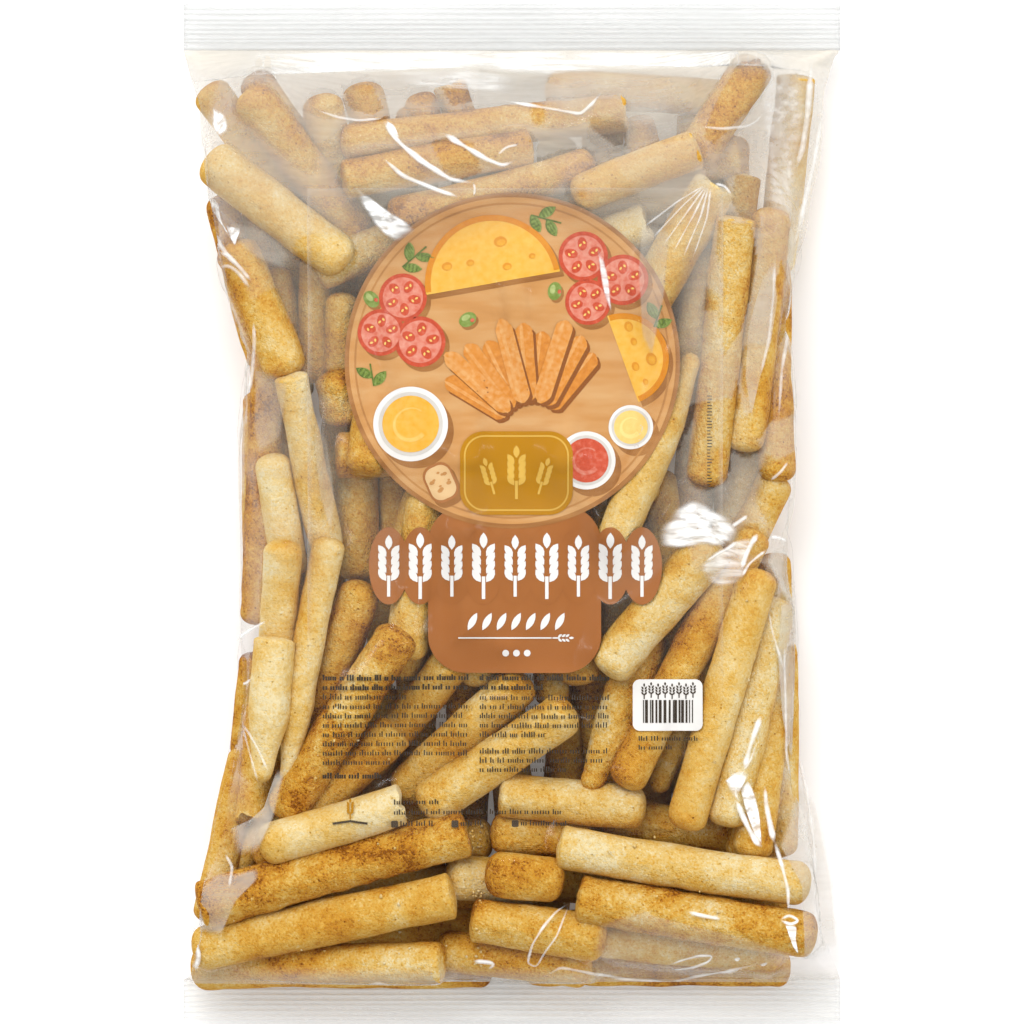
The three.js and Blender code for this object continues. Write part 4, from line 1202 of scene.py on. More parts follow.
# Patches of the film: bright white ones, painted highlights where it is turned to the light, and pale grey
# ones, milk where it is drawn together or doubled: whiteness, share of the patch over which that fades,
# then columns and rows round it.
filmPatches = {
    "paintedHighlightPatches": [
        (0.55, 0.3, 203, 192, 214, 199, 222, 206, 223, 222, 238, 247, 230, 236, 214, 212),
        (0.8, 0.2, 229, 228, 246, 231, 241, 240, 239, 251, 233, 240),
        (0.7, 0.3, 657, 529, 674, 507, 690, 498, 705, 504, 718, 513, 733, 520, 736, 535, 724, 547, 702,
         544, 677, 548, 657, 546),
        (0.4, 0.2, 697, 565, 712, 550, 740, 537, 752, 537, 744, 560, 739, 580, 718, 586, 702, 579),
        (0.65, 0.3, 722, 776, 730, 768, 740, 766, 746, 771, 738, 785, 733, 796, 727, 787),
        (0.95, 0.2, 737, 785, 745, 775, 752, 790, 757, 812, 759, 842, 752, 833, 742, 805),
        (0.95, 0.15, 781, 918, 793, 918, 791, 931, 795, 949, 789, 941, 785, 930),
        (0.95, 0.1, 731, 953, 737, 950, 740, 953, 733, 958),
        (0.95, 0.1, 757, 959, 765, 955, 766, 959, 758, 963),
        (0.95, 0.35, 358, 192, 368, 197, 385, 211, 400, 220, 415, 230, 418, 236, 405, 242, 398, 247, 388,
         240, 376, 228, 368, 215, 360, 203),
        (0.7, 0.5, 596, 250, 602, 258, 608, 282, 611, 318, 604, 302, 599, 278),
        (0.9, 0.3, 388, 124, 396, 128, 402, 144, 394, 138, 386, 130),
        (0.22, 0.4, 762, 66, 800, 70, 806, 112, 796, 170, 786, 232, 768, 225, 764, 150, 756, 100),
        (0.8, 0.35, 215, 110, 228, 118, 233, 136, 222, 141, 214, 128),
        (0.8, 0.7, 192, 49, 300, 48, 520, 48, 700, 48, 836, 49, 834, 74, 760, 68, 640, 72, 560, 78, 440,
         70, 330, 76, 250, 70, 196, 84),
        (0.3, 0.5, 392, 72, 470, 68, 520, 76, 512, 96, 450, 92, 404, 88),
    ],
    "palePatches": [
        (0.25, 0.35, 222, 212, 240, 226, 258, 228, 283, 243, 300, 262, 290, 275, 262, 264, 246, 252, 232,
         232),
        (0.4, 0.25, 232, 826, 250, 818, 270, 800, 280, 765, 290, 762, 277, 815, 262, 846, 240, 852),
        (0.35, 0.15, 196, 905, 206, 880, 222, 868, 240, 868, 262, 862, 263, 872, 240, 895, 225, 930, 200,
         925),
        (0.15, 0.1, 596, 918, 620, 909, 642, 902, 650, 908, 690, 918, 740, 930, 790, 948, 775, 965, 690,
         972, 610, 962, 590, 945),
        (0.35, 0.15, 764, 560, 772, 545, 786, 548, 795, 580, 795, 600, 780, 590),
        (0.4, 0.1, 778, 600, 795, 590, 798, 680, 790, 760, 780, 720, 774, 650),
        (0.3, 0.12, 776, 840, 800, 780, 815, 800, 832, 880, 838, 950, 800, 955, 797, 880),
        (0.35, 0.08, 745, 330, 757, 285, 770, 262, 775, 300, 768, 345, 757, 380, 748, 420, 742, 380),
        (0.2, 0.2, 258, 372, 278, 374, 292, 384, 284, 440, 262, 455, 255, 430),
        (0.2, 0.3, 330, 440, 338, 500, 334, 540, 322, 500, 316, 440, 318, 410),
        (0.25, 0.15, 640, 225, 668, 232, 662, 300, 650, 360, 640, 340, 636, 270),
        (0.3, 0.4, 520, 85, 560, 74, 640, 70, 700, 72, 690, 110, 668, 135, 600, 128, 545, 118),
    ],
}
foldShape = {
    "step": 0.9, "across": 7,       # spacing of the points along a fold, and points across it
    "height": 0.42, "over": 0.07,   # height for its width, and distance from the film
    "reach": 0.7, "fade": 0.16,     # share of its width to each side, and of its length that thins
    "endWidth": 0.35, "uneven": (0.35, 5.0, 51), "crest": 1.5, "whiteCrest": 0.8,
    "room": 0.1,                    # distance from the bag's full height
}
patchShape = {
    "ring": 1.0, "fewest": 3, "rings": 36, "core": 0.02,   # spacing and number of rings, first ring
    "over": 0.07, "room": 0.15, "cloud": (0.3, 6.0, 52),
}


def evenLine(line, step, closed=False):
    # points of a smooth line through the given ones, `step` millimetres apart
    line = np.array(line, float)
    if closed:
        line = np.concatenate([line, line[:1]])
    starts = np.concatenate([[0], np.cumsum(np.linalg.norm(np.diff(line, axis=0), axis=1))])
    count = max(3, math.ceil(starts[-1] / step) + 1)
    spots = np.linspace(0, starts[-1], count)
    out = np.stack([np.interp(spots, starts, line[:, k]) for k in (0, 1)], -1)
    for _ in range(2):
        out[1:-1] = (out[:-2] + 2 * out[1:-1] + out[2:]) / 4
    return out[:-1] if closed else out


def makeFolds():
    # a low ridge of film along each line, widest and whitest in its middle, the white partly milk of the
    # fold and partly a painted glint
    points, faces, hazes, start = [], [], [], 0
    across = np.linspace(-1, 1, foldShape["across"])
    for width, white, *cells in filmFolds:
        route = evenLine(gridLine(cells), foldShape["step"])
        way = np.gradient(route, axis=0)
        way /= np.linalg.norm(way, axis=1, keepdims=True)
        aside = np.stack([-way[:, 1], way[:, 0]], -1)
        share = np.linspace(0, 1, len(route))
        ends = smooth(np.minimum(share, 1 - share) / foldShape["fade"])
        uneven = 1 + addedLumps(np.column_stack([route, route[:, 0] * 0]), foldShape["uneven"])
        thinnest = foldShape["endWidth"]
        reach = width * (thinnest + (1 - thinnest) * ends) * uneven * foldShape["reach"]
        flat = route[:, None] + aside[:, None] * (across * reach[:, None])[..., None]
        crest = np.maximum(1 - np.abs(across) ** foldShape["crest"], 0)
        z = onFilm(flat) + foldShape["over"] + foldShape["height"] * width * crest * ends[:, None]
        z = np.minimum(z, bag["height"] - foldShape["room"])
        points.append(np.concatenate([flat, z[..., None]], -1).reshape(-1, 3))
        faces.append(gridFaces(len(route), len(across), start))
        # fold milk and painted glint, whitest on the crest
        foldWhiteAndGlint = white * crest[None] ** foldShape["whiteCrest"]
        hazes.append((foldWhiteAndGlint * ends[:, None] * uneven[:, None]).ravel())
        start += flat.shape[0] * flat.shape[1]
    material = clearFilm("foldedFilmPaintedGlint", filmFinish["white"], filmFinish["folded"])
    makePiece("filmFolds", np.concatenate(points), faces, material,
              {"haze": np.clip(np.concatenate(hazes), 0, 1)})


def makePatches(name, material):
    # rings from the middle of each outline to its edge
    points, faces, hazes, start = [], [], [], 0
    for white, soft, *cells in filmPatches[name]:
        rim = evenLine(gridLine(cells), patchShape["ring"], closed=True)
        centre = rim.mean(0)
        widest = np.linalg.norm(rim - centre, axis=1).max()
        rings = min(max(patchShape["fewest"], math.ceil(widest / patchShape["ring"])), patchShape["rings"])
        shares = np.linspace(0, 1, rings + 1)
        shares[0] = patchShape["core"]
        flat = centre + (rim - centre)[None] * shares[:, None, None]
        z = np.minimum(onFilm(flat) + patchShape["over"], bag["height"] - patchShape["room"])
        n = len(rim)
        faces += [gridFaces(rings + 1, n, start), closeRows(rings + 1, n, start)]
        points.append(np.concatenate([flat, z[..., None]], -1).reshape(-1, 3))
        cloud = 1 + addedLumps(np.concatenate([flat, z[..., None] * 0], -1), patchShape["cloud"])
        hazes.append((white * smooth((1 - shares) / soft)[:, None] * cloud).ravel())
        start += len(flat) * n
    makePiece(name, np.concatenate(points), faces, material,
              {"haze": np.clip(np.concatenate(hazes), 0, 1)})


makeFolds()
# white for the painted highlights of the bright patches
crinkledMaterial = clearFilm("crinkledPolypropyleneFilm", filmFinish["white"], filmFinish["crinkled"])
makePatches("paintedHighlightPatches", crinkledMaterial)
makePatches("palePatches", clearMaterial)
print("folds and patches made")


# Two films welded by heated jaws: flat and stiff, with a ridge across for each tooth of the jaws.
# Its lumps too are given as (height or share, size, seed).
sealShape = {
    "columns": 152, "rows": 84, "thickness": 0.5,
    "ridge": 0.32, "lineWidth": 0.42,
    "ridgeEven": 0.75, "ridgeUneven": 0.5, "ridgeSize": 30, "ridgeSeed": 44, "ridgeApart": 40,
    "ridgeStart": 0.04, "ridgeEnd": 0.03,       # share of the seal over which they start and end
    "droop": (0.9, 38, 41), "droopStretch": (1, 0.2, 1),
    "waver": (0.45, 45, 43), "waverStretch": (1, 0.1, 1),
    "lap": (-11, 1.3), "lapRise": 0.2, "lapEdge": 0.8,   # the back seam, from and to which x
    "rimSlope": 30, "rimLeast": 0.2,            # how fast it is full thick, and its share at the edge
    "cloud": (0.06, 16, 42), "cloudStretch": (1, 3, 1), "milkUneven": (0.4, 30, 45),
    "join": (0.05, 0.02), "cut": (0.08, 0.985),  # extra milk at both edges, and the share it starts at
    "most": 0.6,
}
# Each seal: how far from its cut edge its ridges run, how milky it is between them and how grey on
# them (milk and painted shade), and the colour of that milk.
seals = {
    "topSeal": {
        "ridges": (1.3, 2.9, 4.8, 6.2, 7.8, 9.2, 10.9, 12.0, 14.0), "milk": 0.7, "line": 0.6,
        "tone": "#D3D4D3",
    },
    "bottomSeal": {
        "ridges": (1.1, 2.8, 4.6, 6.1, 7.9, 9.6, 11.3), "milk": 0.55, "line": 0.6,
        "tone": "#F1F1EF",
    },
}


def ridgeLines(seal, flat, fromCut):
    # how strongly each point lies on a ridge, each ridge uneven in its own way along the bag
    lines = np.zeros(fromCut.shape)
    for k, place in enumerate(seal["ridges"]):
        row = flat * (1, 0, 1) + (0, sealShape["ridgeApart"] * k, 0)
        uneven = lumps(row, sealShape["ridgeSize"], sealShape["ridgeSeed"] + k)
        strength = sealShape["ridgeEven"] + sealShape["ridgeUneven"] * uneven
        lines = lines + strength * np.exp(-((fromCut - place) / sealShape["lineWidth"]) ** 2)
    return lines


def makeSeal(name, y0, y1):
    # y0 is the row that joins the film, y1 the cut edge
    seal, shape = seals[name], sealShape
    n, m = shape["columns"], shape["rows"]
    x = np.linspace(-bag["halfWidth"], bag["halfWidth"], n)[:, None] + np.zeros((1, m))
    t = np.linspace(0, 1, m)[None, :] + np.zeros((n, 1))
    y = y0 + (y1 - y0) * t
    flat = np.stack([x, y, 0 * x], -1)
    bend = smooth(t) * addedLumps(flat * shape["droopStretch"], shape["droop"])
    waver = addedLumps(flat * shape["waverStretch"], shape["waver"])
    lines = ridgeLines(seal, flat, np.abs(y1 - y) + waver)
    ridges = shape["ridge"] * lines * smooth(t / shape["ridgeStart"]) * smooth((1 - t) / shape["ridgeEnd"])
    onLap = smooth((x - shape["lap"][0]) / shape["lapEdge"])
    onLap = onLap * smooth((shape["lap"][1] - x) / shape["lapEdge"])
    middle = bag["sealHeight"] + bend + ridges
    rim = np.minimum(1, np.minimum(t, 1 - t) * shape["rimSlope"] + shape["rimLeast"])
    edge = rim * shape["thickness"] / 2
    upper, lower = middle + edge + shape["lapRise"] * onLap, middle - edge
    points = np.concatenate([np.stack([x, y, z], -1).reshape(-1, 3) for z in (upper, lower)])

    # both sheets and a wall round them
    ids = np.arange(n * m).reshape(n, m)
    border = np.concatenate([ids[:-1, 0], ids[-1, :-1], ids[:0:-1, -1], ids[0, :0:-1]])
    after = np.roll(border, -1)
    walls = np.stack([border, border + n * m, after + n * m, after], -1)
    faces = [gridFaces(n, m), gridFaces(n, m, n * m)[:, ::-1], walls]
    if y1 < y0:
        faces = [side[:, ::-1] for side in faces]
    cloud = addedLumps(flat * shape["cloudStretch"], shape["cloud"])
    cloud = cloud + shape["join"][0] * (t < shape["join"][1]) + shape["cut"][0] * (t > shape["cut"][1])
    milk = seal["milk"] * (1 + addedLumps(flat, shape["milkUneven"]))
    # painted shade: grey lines on the ridges
    haze = np.clip(milk + cloud + seal["line"] * lines, 0, 1) * shape["most"]
    material = clearFilm("heatSealedFilm_" + name, seal["tone"], filmFinish["sealed"])
    makePiece(name, points, faces, material, {"haze": np.tile(haze.ravel(), 2)})


makeSeal("topSeal", bodyTop, bag["halfLength"])
makeSeal("bottomSeal", bodyBottom, -bag["halfLength"])
print("seals made")


# Shapes are laid out flat and then dropped on the inside of the front film, one piece an ink.
# Each ink has its colours dark, plain and light; a shape's tint runs between them from -1 to 1.
inks = {
    "tan": {"tone": ("#7A4A22", "#BE8A52", "#DABB8C"), "uneven": 0.22, "size": 5.0},
    "yellow": {"tone": ("#C47318", "#DCA335", "#E4CE83"), "uneven": 0.12, "size": 2.0},
    "orange": {"tone": ("#984D18", "#CB8438", "#DDB984"), "uneven": 0.25, "size": 1.5, "slot": "red"},
    "red": {"tone": ("#882417", "#C25137", "#DCA38F"), "uneven": 0.25, "size": 1.6},
    "green": {"tone": ("#35471A", "#72863C", "#AEB979"), "uneven": 0.25, "size": 1.6},
    "white": {"tone": ("#A79F93", "#DDDAD5", "#E7E7E7"), "uneven": 0.06, "size": 3.0},
    "brown": {"tone": ("#63361A", "#9A5F30", "#BC8A5C"), "uneven": 0.06, "size": 8.0},
    "gold": {"tone": ("#7D5308", "#AD7812", "#D2AA4F"), "uneven": 0.06, "size": 8.0},
    "dark": {"tone": ("#25201B", "#43392E", "#6F5F4C"), "uneven": 0.1, "size": 2.0},
}
inks["tan"]["stretch"] = (0.18, 1, 1)   # runs along the board as wood grain does
# Depth of the lowest layer under the film, rise of each layer, spacing of the points, fewest of
# them in an arc, and how blunt a grain's ends are.
printing = {
    "depth": 0.42, "layer": 0.065, "spacing": 1.25, "arcSpacing": 1.0, "fewest": 10, "grainBlunt": 0.8,
}
# Layers of ink over each other. Shapes that overlap in one of them are parted by a share of it.
ground, shadow, body, detail, fine, light, gilding = range(7)
inkShapes = {ink: [] for ink in inks}


def towards(turn):
    # the direction at so many degrees
    return math.cos(math.radians(turn)), math.sin(math.radians(turn))


def turned(x, y, turn):
    c, s = towards(turn)
    return x * c - y * s, x * s + y * c


def arc(cx, cy, rx, ry, turn=0.0, start=0.0, end=360.0):
    step = printing["arcSpacing"]
    count = max(printing["fewest"], math.ceil(math.radians(end - start) * max(rx, ry) / step))
    t = np.radians(np.linspace(start, end, count, endpoint=end - start < 360))
    x, y = turned(rx * np.cos(t), ry * np.sin(t), turn)
    return np.stack([cx + x, cy + y], -1)


def thicken(line, closed=True):
    # more points on long stretches of a line
    line = np.array(line, float)
    ends = np.concatenate([line[1:], line[:1]]) if closed else line[1:]
    out = []
    for p, q in zip(line, ends):
        count = max(1, math.ceil(math.dist(p, q) / printing["spacing"]))
        out.append(p + (q - p) * np.arange(count)[:, None] / count)
    if not closed:
        out.append(line[-1:])
    return np.concatenate(out)


def roundBox(cx, cy, width, height, corner, turn=0.0):
    out = []
    for sx, sy, start in ((1, 1, 0), (-1, 1, 90), (-1, -1, 180), (1, -1, 270)):
        x, y = sx * (width / 2 - corner), sy * (height / 2 - corner)
        out.append(arc(x, y, corner, corner, 0, start, start + 90))
    x, y = turned(*np.concatenate(out).T, turn)
    return thicken(np.stack([cx + x, cy + y], -1))


def fillOutline(ink, outline, level, tint=0.0, centre=None):
    # rings shrinking to the centre, for an outline that is seen whole from there
    centre = outline.mean(0) if centre is None else np.array(centre, float)
    widest = np.linalg.norm(outline - centre, axis=1).max()
    rings = max(1, math.ceil(widest / printing["spacing"]))
    n = len(outline)
    points = [centre[None]] + [centre + (outline - centre) * k / rings for k in range(1, rings + 1)]
    k = np.arange(n)
    after = (k + 1) % n
    fan = np.stack([np.zeros(n, int), 1 + k, 1 + after], -1)
    quads = [np.zeros((0, 4), int)]
    for first in range(1, 1 + (rings - 1) * n, n):
        quads.append(np.stack([first + k, first + n + k, first + n + after, first + after], -1))
    inkShapes[ink].append((np.concatenate(points), np.concatenate(quads), fan, level, tint))


def fillRibbon(ink, line, halfWidth, level, tint=0.0):
    # a band along a line, its half width a number or a function of the share of the way
    line = thicken(line, closed=False)
    way = np.gradient(line, axis=0)
    way /= np.linalg.norm(way, axis=1, keepdims=True) + 1e-9
    across = np.stack([-way[:, 1], way[:, 0]], -1)
    share = np.linspace(0, 1, len(line))
    wide = halfWidth(share) if callable(halfWidth) else np.full(len(line), halfWidth)
    rows = max(2, math.ceil(2 * wide.max() / printing["spacing"]) + 1)
    points = line[:, None] + across[:, None] * (wide[:, None] * np.linspace(-1, 1, rows))[..., None]
    faces = gridFaces(len(line), rows)
    inkShapes[ink].append((points.reshape(-1, 2), faces, np.zeros((0, 3), int), level, tint))


def pointed(most, bluntness):
    # half widths that are widest in the middle and come to a point at both ends
    return lambda t: most * np.maximum(np.sin(math.pi * np.clip(t, 0.001, 0.999)), 0) ** bluntness


def fillGrain(ink, x, y, length, width, turn, level, tint=0.0):
    # a pointed oval: grain, leaf or petal
    c, s = towards(turn)
    steps = np.linspace(-1, 1, max(5, math.ceil(length / printing["arcSpacing"])))[:, None]
    line = np.array([x, y]) + steps * (c * length / 2, s * length / 2)
    fillRibbon(ink, line, pointed(width / 2, printing["grainBlunt"]), level, tint)


# An ear of wheat, all as shares of its height and degrees.
ear = {
    "stalk": 0.34, "stalkWidth": 0.022, "stalkLeast": 0.08,   # the last one in millimetres
    "first": 0.35, "run": 0.52, "aside": 0.105, "lean": 34, "grain": (0.23, 0.115),
    "tip": 0.88, "tipGrain": (0.24, 0.12), "stagger": 0.25,   # layers between its grains
}


def drawEar(x, y, height, ink, level, tint=0.0, turn=90.0, pairs=4):
    # an ear of wheat on a short stalk, its grains parted by narrow gaps
    up = np.array(towards(turn))
    side = np.array([-up[1], up[0]])
    foot = np.array([x, y]) - up * height / 2
    pitch = ear["run"] / pairs
    stalkWidth = height * ear["stalkWidth"] + ear["stalkLeast"]
    fillRibbon(ink, [foot, foot + up * height * ear["stalk"]], stalkWidth, level, tint)
    long, wide = (height * share for share in ear["grain"])
    for k in range(pairs):
        over = level + ear["stagger"] * (1 + k % 2)
        for way in (-1, 1):
            spot = foot + up * height * (ear["first"] + pitch * k) + side * way * height * ear["aside"]
            fillGrain(ink, *spot, long, wide, turn + way * ear["lean"], over, tint)
    long, wide = (height * share for share in ear["tipGrain"])
    fillGrain(ink, *(foot + up * height * ear["tip"]), long, wide, turn, level, tint)


# Shadow under what lies on the board: how far it is set off, and its tint.
castShadow = {"offset": (1.3, -1.5), "dish": (1.8, -2.2), "olive": (0.7, -0.9), "tint": -0.62}


def dropShadow(outline, offset=castShadow["offset"]):
    fillOutline("tan", outline + np.array(offset), shadow, castShadow["tint"])


def drawDiscs(cx, cy, r, turn, discs):
    # discs over each other: offset, radii as shares of r, ink, layer and tint
    for dx, dy, rx, ry, ink, level, tint in discs:
        fillOutline(ink, arc(cx + dx, cy + dy, rx * r, ry * r, turn), level, tint)


# Half a wheel of cheese. Each hole: distance from the middle as a share of the radius, angle, size.
cheese = {
    "heart": 0.42, "tint": 0.15, "rind": 0.9, "rindTint": -0.75, "rindEnds": (2, 178),
    "holes": ((0.32, 40, 1.5), (0.62, 70, 2.1), (0.45, 128, 1.3), (0.72, 150, 1.7), (0.7, 25, 1.1)),
    "hole": ((0, 0, 1, 0.8, "yellow", detail, -0.55), (0.25, -0.3, 0.7, 0.5, "yellow", fine, -0.2)),
}


def drawCheese(cx, cy, r, turn):
    wheel = thicken(arc(cx, cy, r, r, turn, 0, 180))
    heart = np.array([cx, cy]) + cheese["heart"] * r * np.array(towards(turn + 90))
    dropShadow(wheel)
    fillOutline("yellow", wheel, body, cheese["tint"], heart)
    inner = r - cheese["rind"]
    rind = arc(cx, cy, inner, inner, turn, *cheese["rindEnds"])
    fillRibbon("yellow", rind, cheese["rind"], detail, cheese["rindTint"])
    for share, angle, size in cheese["holes"]:
        c, s = towards(turn + angle)
        drawDiscs(cx + share * r * c, cy + share * r * s, size, turn, cheese["hole"])


# A slice of tomato: skin and flesh, then seed pockets with two seeds in each.
tomato = {
    "slice": ((0, 0, 1, 1, "red", body, -0.15), (0, 0, 0.84, 0.84, "red", detail, 0.45)),
    "pockets": 5, "at": 0.5, "twist": 17, "pocket": ((0, 0, 0.27, 0.19, "red", fine, -0.1),),
    "seed": (1.2, 0.7), "seedAt": (0.6, 0.4), "seedTurn": 40, "seedTint": 0.5,
}


def drawTomato(cx, cy, r):
    dropShadow(arc(cx, cy, r, r))
    drawDiscs(cx, cy, r, 0, tomato["slice"])
    for k in range(tomato["pockets"]):
        turn = 360 / tomato["pockets"] * k + tomato["twist"] * cx   # each slice lies its own way
        c, s = towards(turn)
        x, y = cx + tomato["at"] * r * c, cy + tomato["at"] * r * s
        drawDiscs(x, y, r, turn, tomato["pocket"])
        for way in (-1, 1):
            dx, dy = (way * part for part in tomato["seedAt"])
            seedTurn = turn + tomato["seedTurn"] * way
            fillGrain("yellow", x + dx, y + dy, *tomato["seed"], seedTurn, light, tomato["seedTint"])


# A round dish, its filling with a swirl, and a glint on its rim: radii as shares, then angles.
dish = {
    "rim": ((0, 0, 1, 1, "white", body, 0.1), (0, 0, 0.86, 0.86, "white", detail, -0.45)),
    "filling": 0.76, "swirl": (0.45, 0.42), "swirlAngles": (30, 20, 290), "swirlTint": 0.35,
    "swirlWidth": (0.15, 0.6),   # at its start, and how much it grows
    "glint": 0.93, "glintAngles": (0, 100, 165), "glintWidth": 0.45, "glintBlunt": 0.5, "glintTint": 0.9,
}


def drawDish(cx, cy, r, filling, tint):
    dropShadow(arc(cx, cy, r, r), castShadow["dish"])
    drawDiscs(cx, cy, r, 0, (*dish["rim"], (0, 0, dish["filling"], dish["filling"], filling, fine, tint)))
    swirl = arc(cx, cy, *(share * r for share in dish["swirl"]), *dish["swirlAngles"])
    thin, growth = dish["swirlWidth"]
    fillRibbon(filling, swirl, lambda t: thin + growth * t, light, tint + dish["swirlTint"])
    glint = arc(cx, cy, dish["glint"] * r, dish["glint"] * r, *dish["glintAngles"])
    glintWidth = pointed(dish["glintWidth"], dish["glintBlunt"])
    fillRibbon("white", glint, glintWidth, detail, dish["glintTint"])


# A slice of bread: corner as a share of its width, crust, crumb and the holes in the crumb.
breadSlice = {
    "corner": 0.38, "crustTint": 0.25, "crumb": 0.86, "crumbTint": 0.75,
    "holes": 11, "spread": 0.3, "holeSizes": (0.35, 0.9), "holeFlat": 0.7, "holeTint": -0.1, "seed": 129,
}


def drawBreadSlice(cx, cy, width, height, turn):
    outline = roundBox(cx, cy, width, height, breadSlice["corner"] * width, turn)
    dropShadow(outline)
    fillOutline("brown", outline, body, breadSlice["crustTint"])
    crumb = outline.mean(0) + (outline - outline.mean(0)) * breadSlice["crumb"]
    fillOutline("tan", crumb, detail, breadSlice["crumbTint"])
    rng = np.random.default_rng(breadSlice["seed"])
    for _ in range(breadSlice["holes"]):
        spot = rng.uniform(-breadSlice["spread"], breadSlice["spread"], 2) * (width, height)
        x, y = turned(*spot, turn)
        size = rng.uniform(*breadSlice["holeSizes"])
        hole = arc(cx + x, cy + y, size, size * breadSlice["holeFlat"], turn)
        fillOutline("tan", hole, fine, breadSlice["holeTint"])


# A fan of sticks: every third one as long, as high and as pale, each on its shadow and with a
# streak of light along it.
stickFan = {
    "start": 9, "length": 25, "shortest": 0.9, "longer": 0.1, "halfWidth": 2.75, "round": 2.2, "tip": 0.02,
    "points": 12, "rise": 1.5, "tint": -0.12, "paler": 0.14,
    "shadowOffset": (0.9, -1.1), "shadowTint": -0.45, "streakAt": 0.8, "streakWidth": 0.2,
    "streakTint": 0.3, "part": 0.5,   # layers between a stick, its shadow and its streak
}


def drawStickFan(cx, cy, turns):
    length = stickFan["length"]

    def halfWidth(t):
        fromEnd = np.minimum(t, 1 - t) * length / stickFan["round"]
        return stickFan["halfWidth"] * np.minimum(1, np.sqrt(np.clip(fromEnd, stickFan["tip"], 1)))

    def streakWidth(t):
        return stickFan["streakWidth"] * halfWidth(t)

    for k, turn in enumerate(turns):
        c, s = towards(turn)
        start = np.array([cx + stickFan["start"] * c, cy + stickFan["start"] * s])
        reach = length * (stickFan["shortest"] + stickFan["longer"] * (k % 3))
        line = start + np.linspace(0, reach, stickFan["points"])[:, None] * (c, s)
        level = body + stickFan["rise"] * (k % 3)
        fillRibbon("brown", line + stickFan["shadowOffset"], halfWidth, level - stickFan["part"],
                   stickFan["shadowTint"])
        fillRibbon("orange", line, halfWidth, level, stickFan["tint"] + stickFan["paler"] * (k % 3))
        fillRibbon("orange", line + np.array([-s, c]) * stickFan["streakAt"], streakWidth,
                   level + stickFan["part"], stickFan["streakTint"])


# A sprig of herbs: leaves by turns on both sides of a stalk, each of two halves.
sprig = {
    "pitch": 2.6, "aside": 2.2, "leaf": (6.0, 2.9), "lean": 48, "halves": ((1, 0.05), (-1, -0.45)),
    "halfShift": 0.25, "stalkBelow": 2, "stalkWidth": 0.25, "stalkTint": -0.5,
}


def drawSprig(cx, cy, turn, leaves):
    c, s = towards(turn)
    aside, pitch = sprig["aside"], sprig["pitch"]
    for k in range(leaves):
        way = 1 if k % 2 else -1
        x, y = cx + pitch * k * c, cy + pitch * k * s
        for side, tint in sprig["halves"]:
            fillGrain("green", x - s * way * aside + sprig["halfShift"] * side, y + c * way * aside,
                      *sprig["leaf"], turn + way * sprig["lean"], detail, tint)
    foot = (cx - sprig["stalkBelow"] * c, cy - sprig["stalkBelow"] * s)
    tip = (cx + pitch * leaves * c, cy + pitch * leaves * s)
    fillRibbon("green", [foot, tip], sprig["stalkWidth"], fine, sprig["stalkTint"])


# An olive with a glint and the pimento in its end.
olive = (
    (0, 0, 2.9, 2.2, "green", body, 0.1), (-0.6, 0.6, 1.5, 0.9, "green", detail, 0.7),
    (1.5, -0.2, 0.7, 0.6, "red", fine, 0.0),
)


def drawOlive(cx, cy, turn):
    dropShadow(arc(cx, cy, *olive[0][2:4], turn), castShadow["olive"])
    drawDiscs(cx, cy, 1, turn, olive)


# The round board and what is served on it. Places are measured from its middle.
board = {
    "middle": (0, 47.8), "radius": 53, "tint": 0.1,
    "rims": ((0.7, 0.7, -0.55), (3.4, 0.3, -0.3)),   # distance from the edge, half width, tint
    "cheeses": ((-6, 24.5, 21.5, 10), (35, 0.5, 14.5, 290)),
    "tomatoes": (
        (-41.5, 9, 7.4), (-34.5, 20, 7.6), (-29, 6, 8.0), (22.5, 33, 7.8), (35, 25.5, 8.0), (24, 18.5, 7.2),
    ),
    "dishes": (
        (-32, -20, 11.8, "yellow", 0.1), (23.5, -31.5, 9.2, "red", 0.0),
        (37.5, -21, 7, "yellow", 0.7),
    ),
    "slice": (-22.5, -38.5, 9.5, 12.5, 24),
    "fan": (6, -22, range(50, 150, 11)),
    "sprigs": ((-33, 31, 40, 3), (8, 45.5, 345, 3), (-44, -6, 100, 2), (45.5, 12.5, 70, 2)),
    "olives": ((-44.5, 19.5, 130), (-14, 13, 30), (13.5, 22, 80)),
}


def drawBoard():
    (cx, cy), r = board["middle"], board["radius"]
    fillOutline("tan", arc(cx, cy, r, r), ground, board["tint"], (cx, cy))
    for inset, width, tint in board["rims"]:
        rim = arc(cx, cy, r - inset, r - inset, 0, 0, 359.9)   # not quite closed, to keep its ends
        fillRibbon("tan", rim, width, shadow, tint)
    for draw, places in (
            (drawCheese, board["cheeses"]), (drawTomato, board["tomatoes"]), (drawDish, board["dishes"]),
            (drawBreadSlice, [board["slice"]]), (drawStickFan, [board["fan"]]),
            (drawSprig, board["sprigs"]), (drawOlive, board["olives"])):
        for x, y, *rest in places:
            draw(cx + x, cy + y, *rest)


# The panel, the frieze of ears on its scalloped band, a row of grains over a rule that ends in an
# ear, and three dots under it.
panel = {
    "box": (0.8, -24.4, 54.7, 53, 12), "under": 0.6,   # layers below the board
    "ears": 9, "earPitch": 10.0, "earMiddle": (1, -17), "earHeights": (19.5, 21),
    "scallop": (6.3, 12.2), "scallopTint": -0.02, "scallopPart": 0.4, "tint": 0.2,
    "grains": 7, "grainStart": (-12.5, -34.6), "grainPitch": 4.6, "grain": (6.2, 2.2, 62),
    "rule": ((-17, -39.8), (12.5, -39.8)), "ruleWidth": 0.22, "ruleEar": (16.2, -39.8, 6.8),
    "dots": 3, "dotStart": (-2.0, -44.6), "dotPitch": 3.4, "dot": 1.1,
}


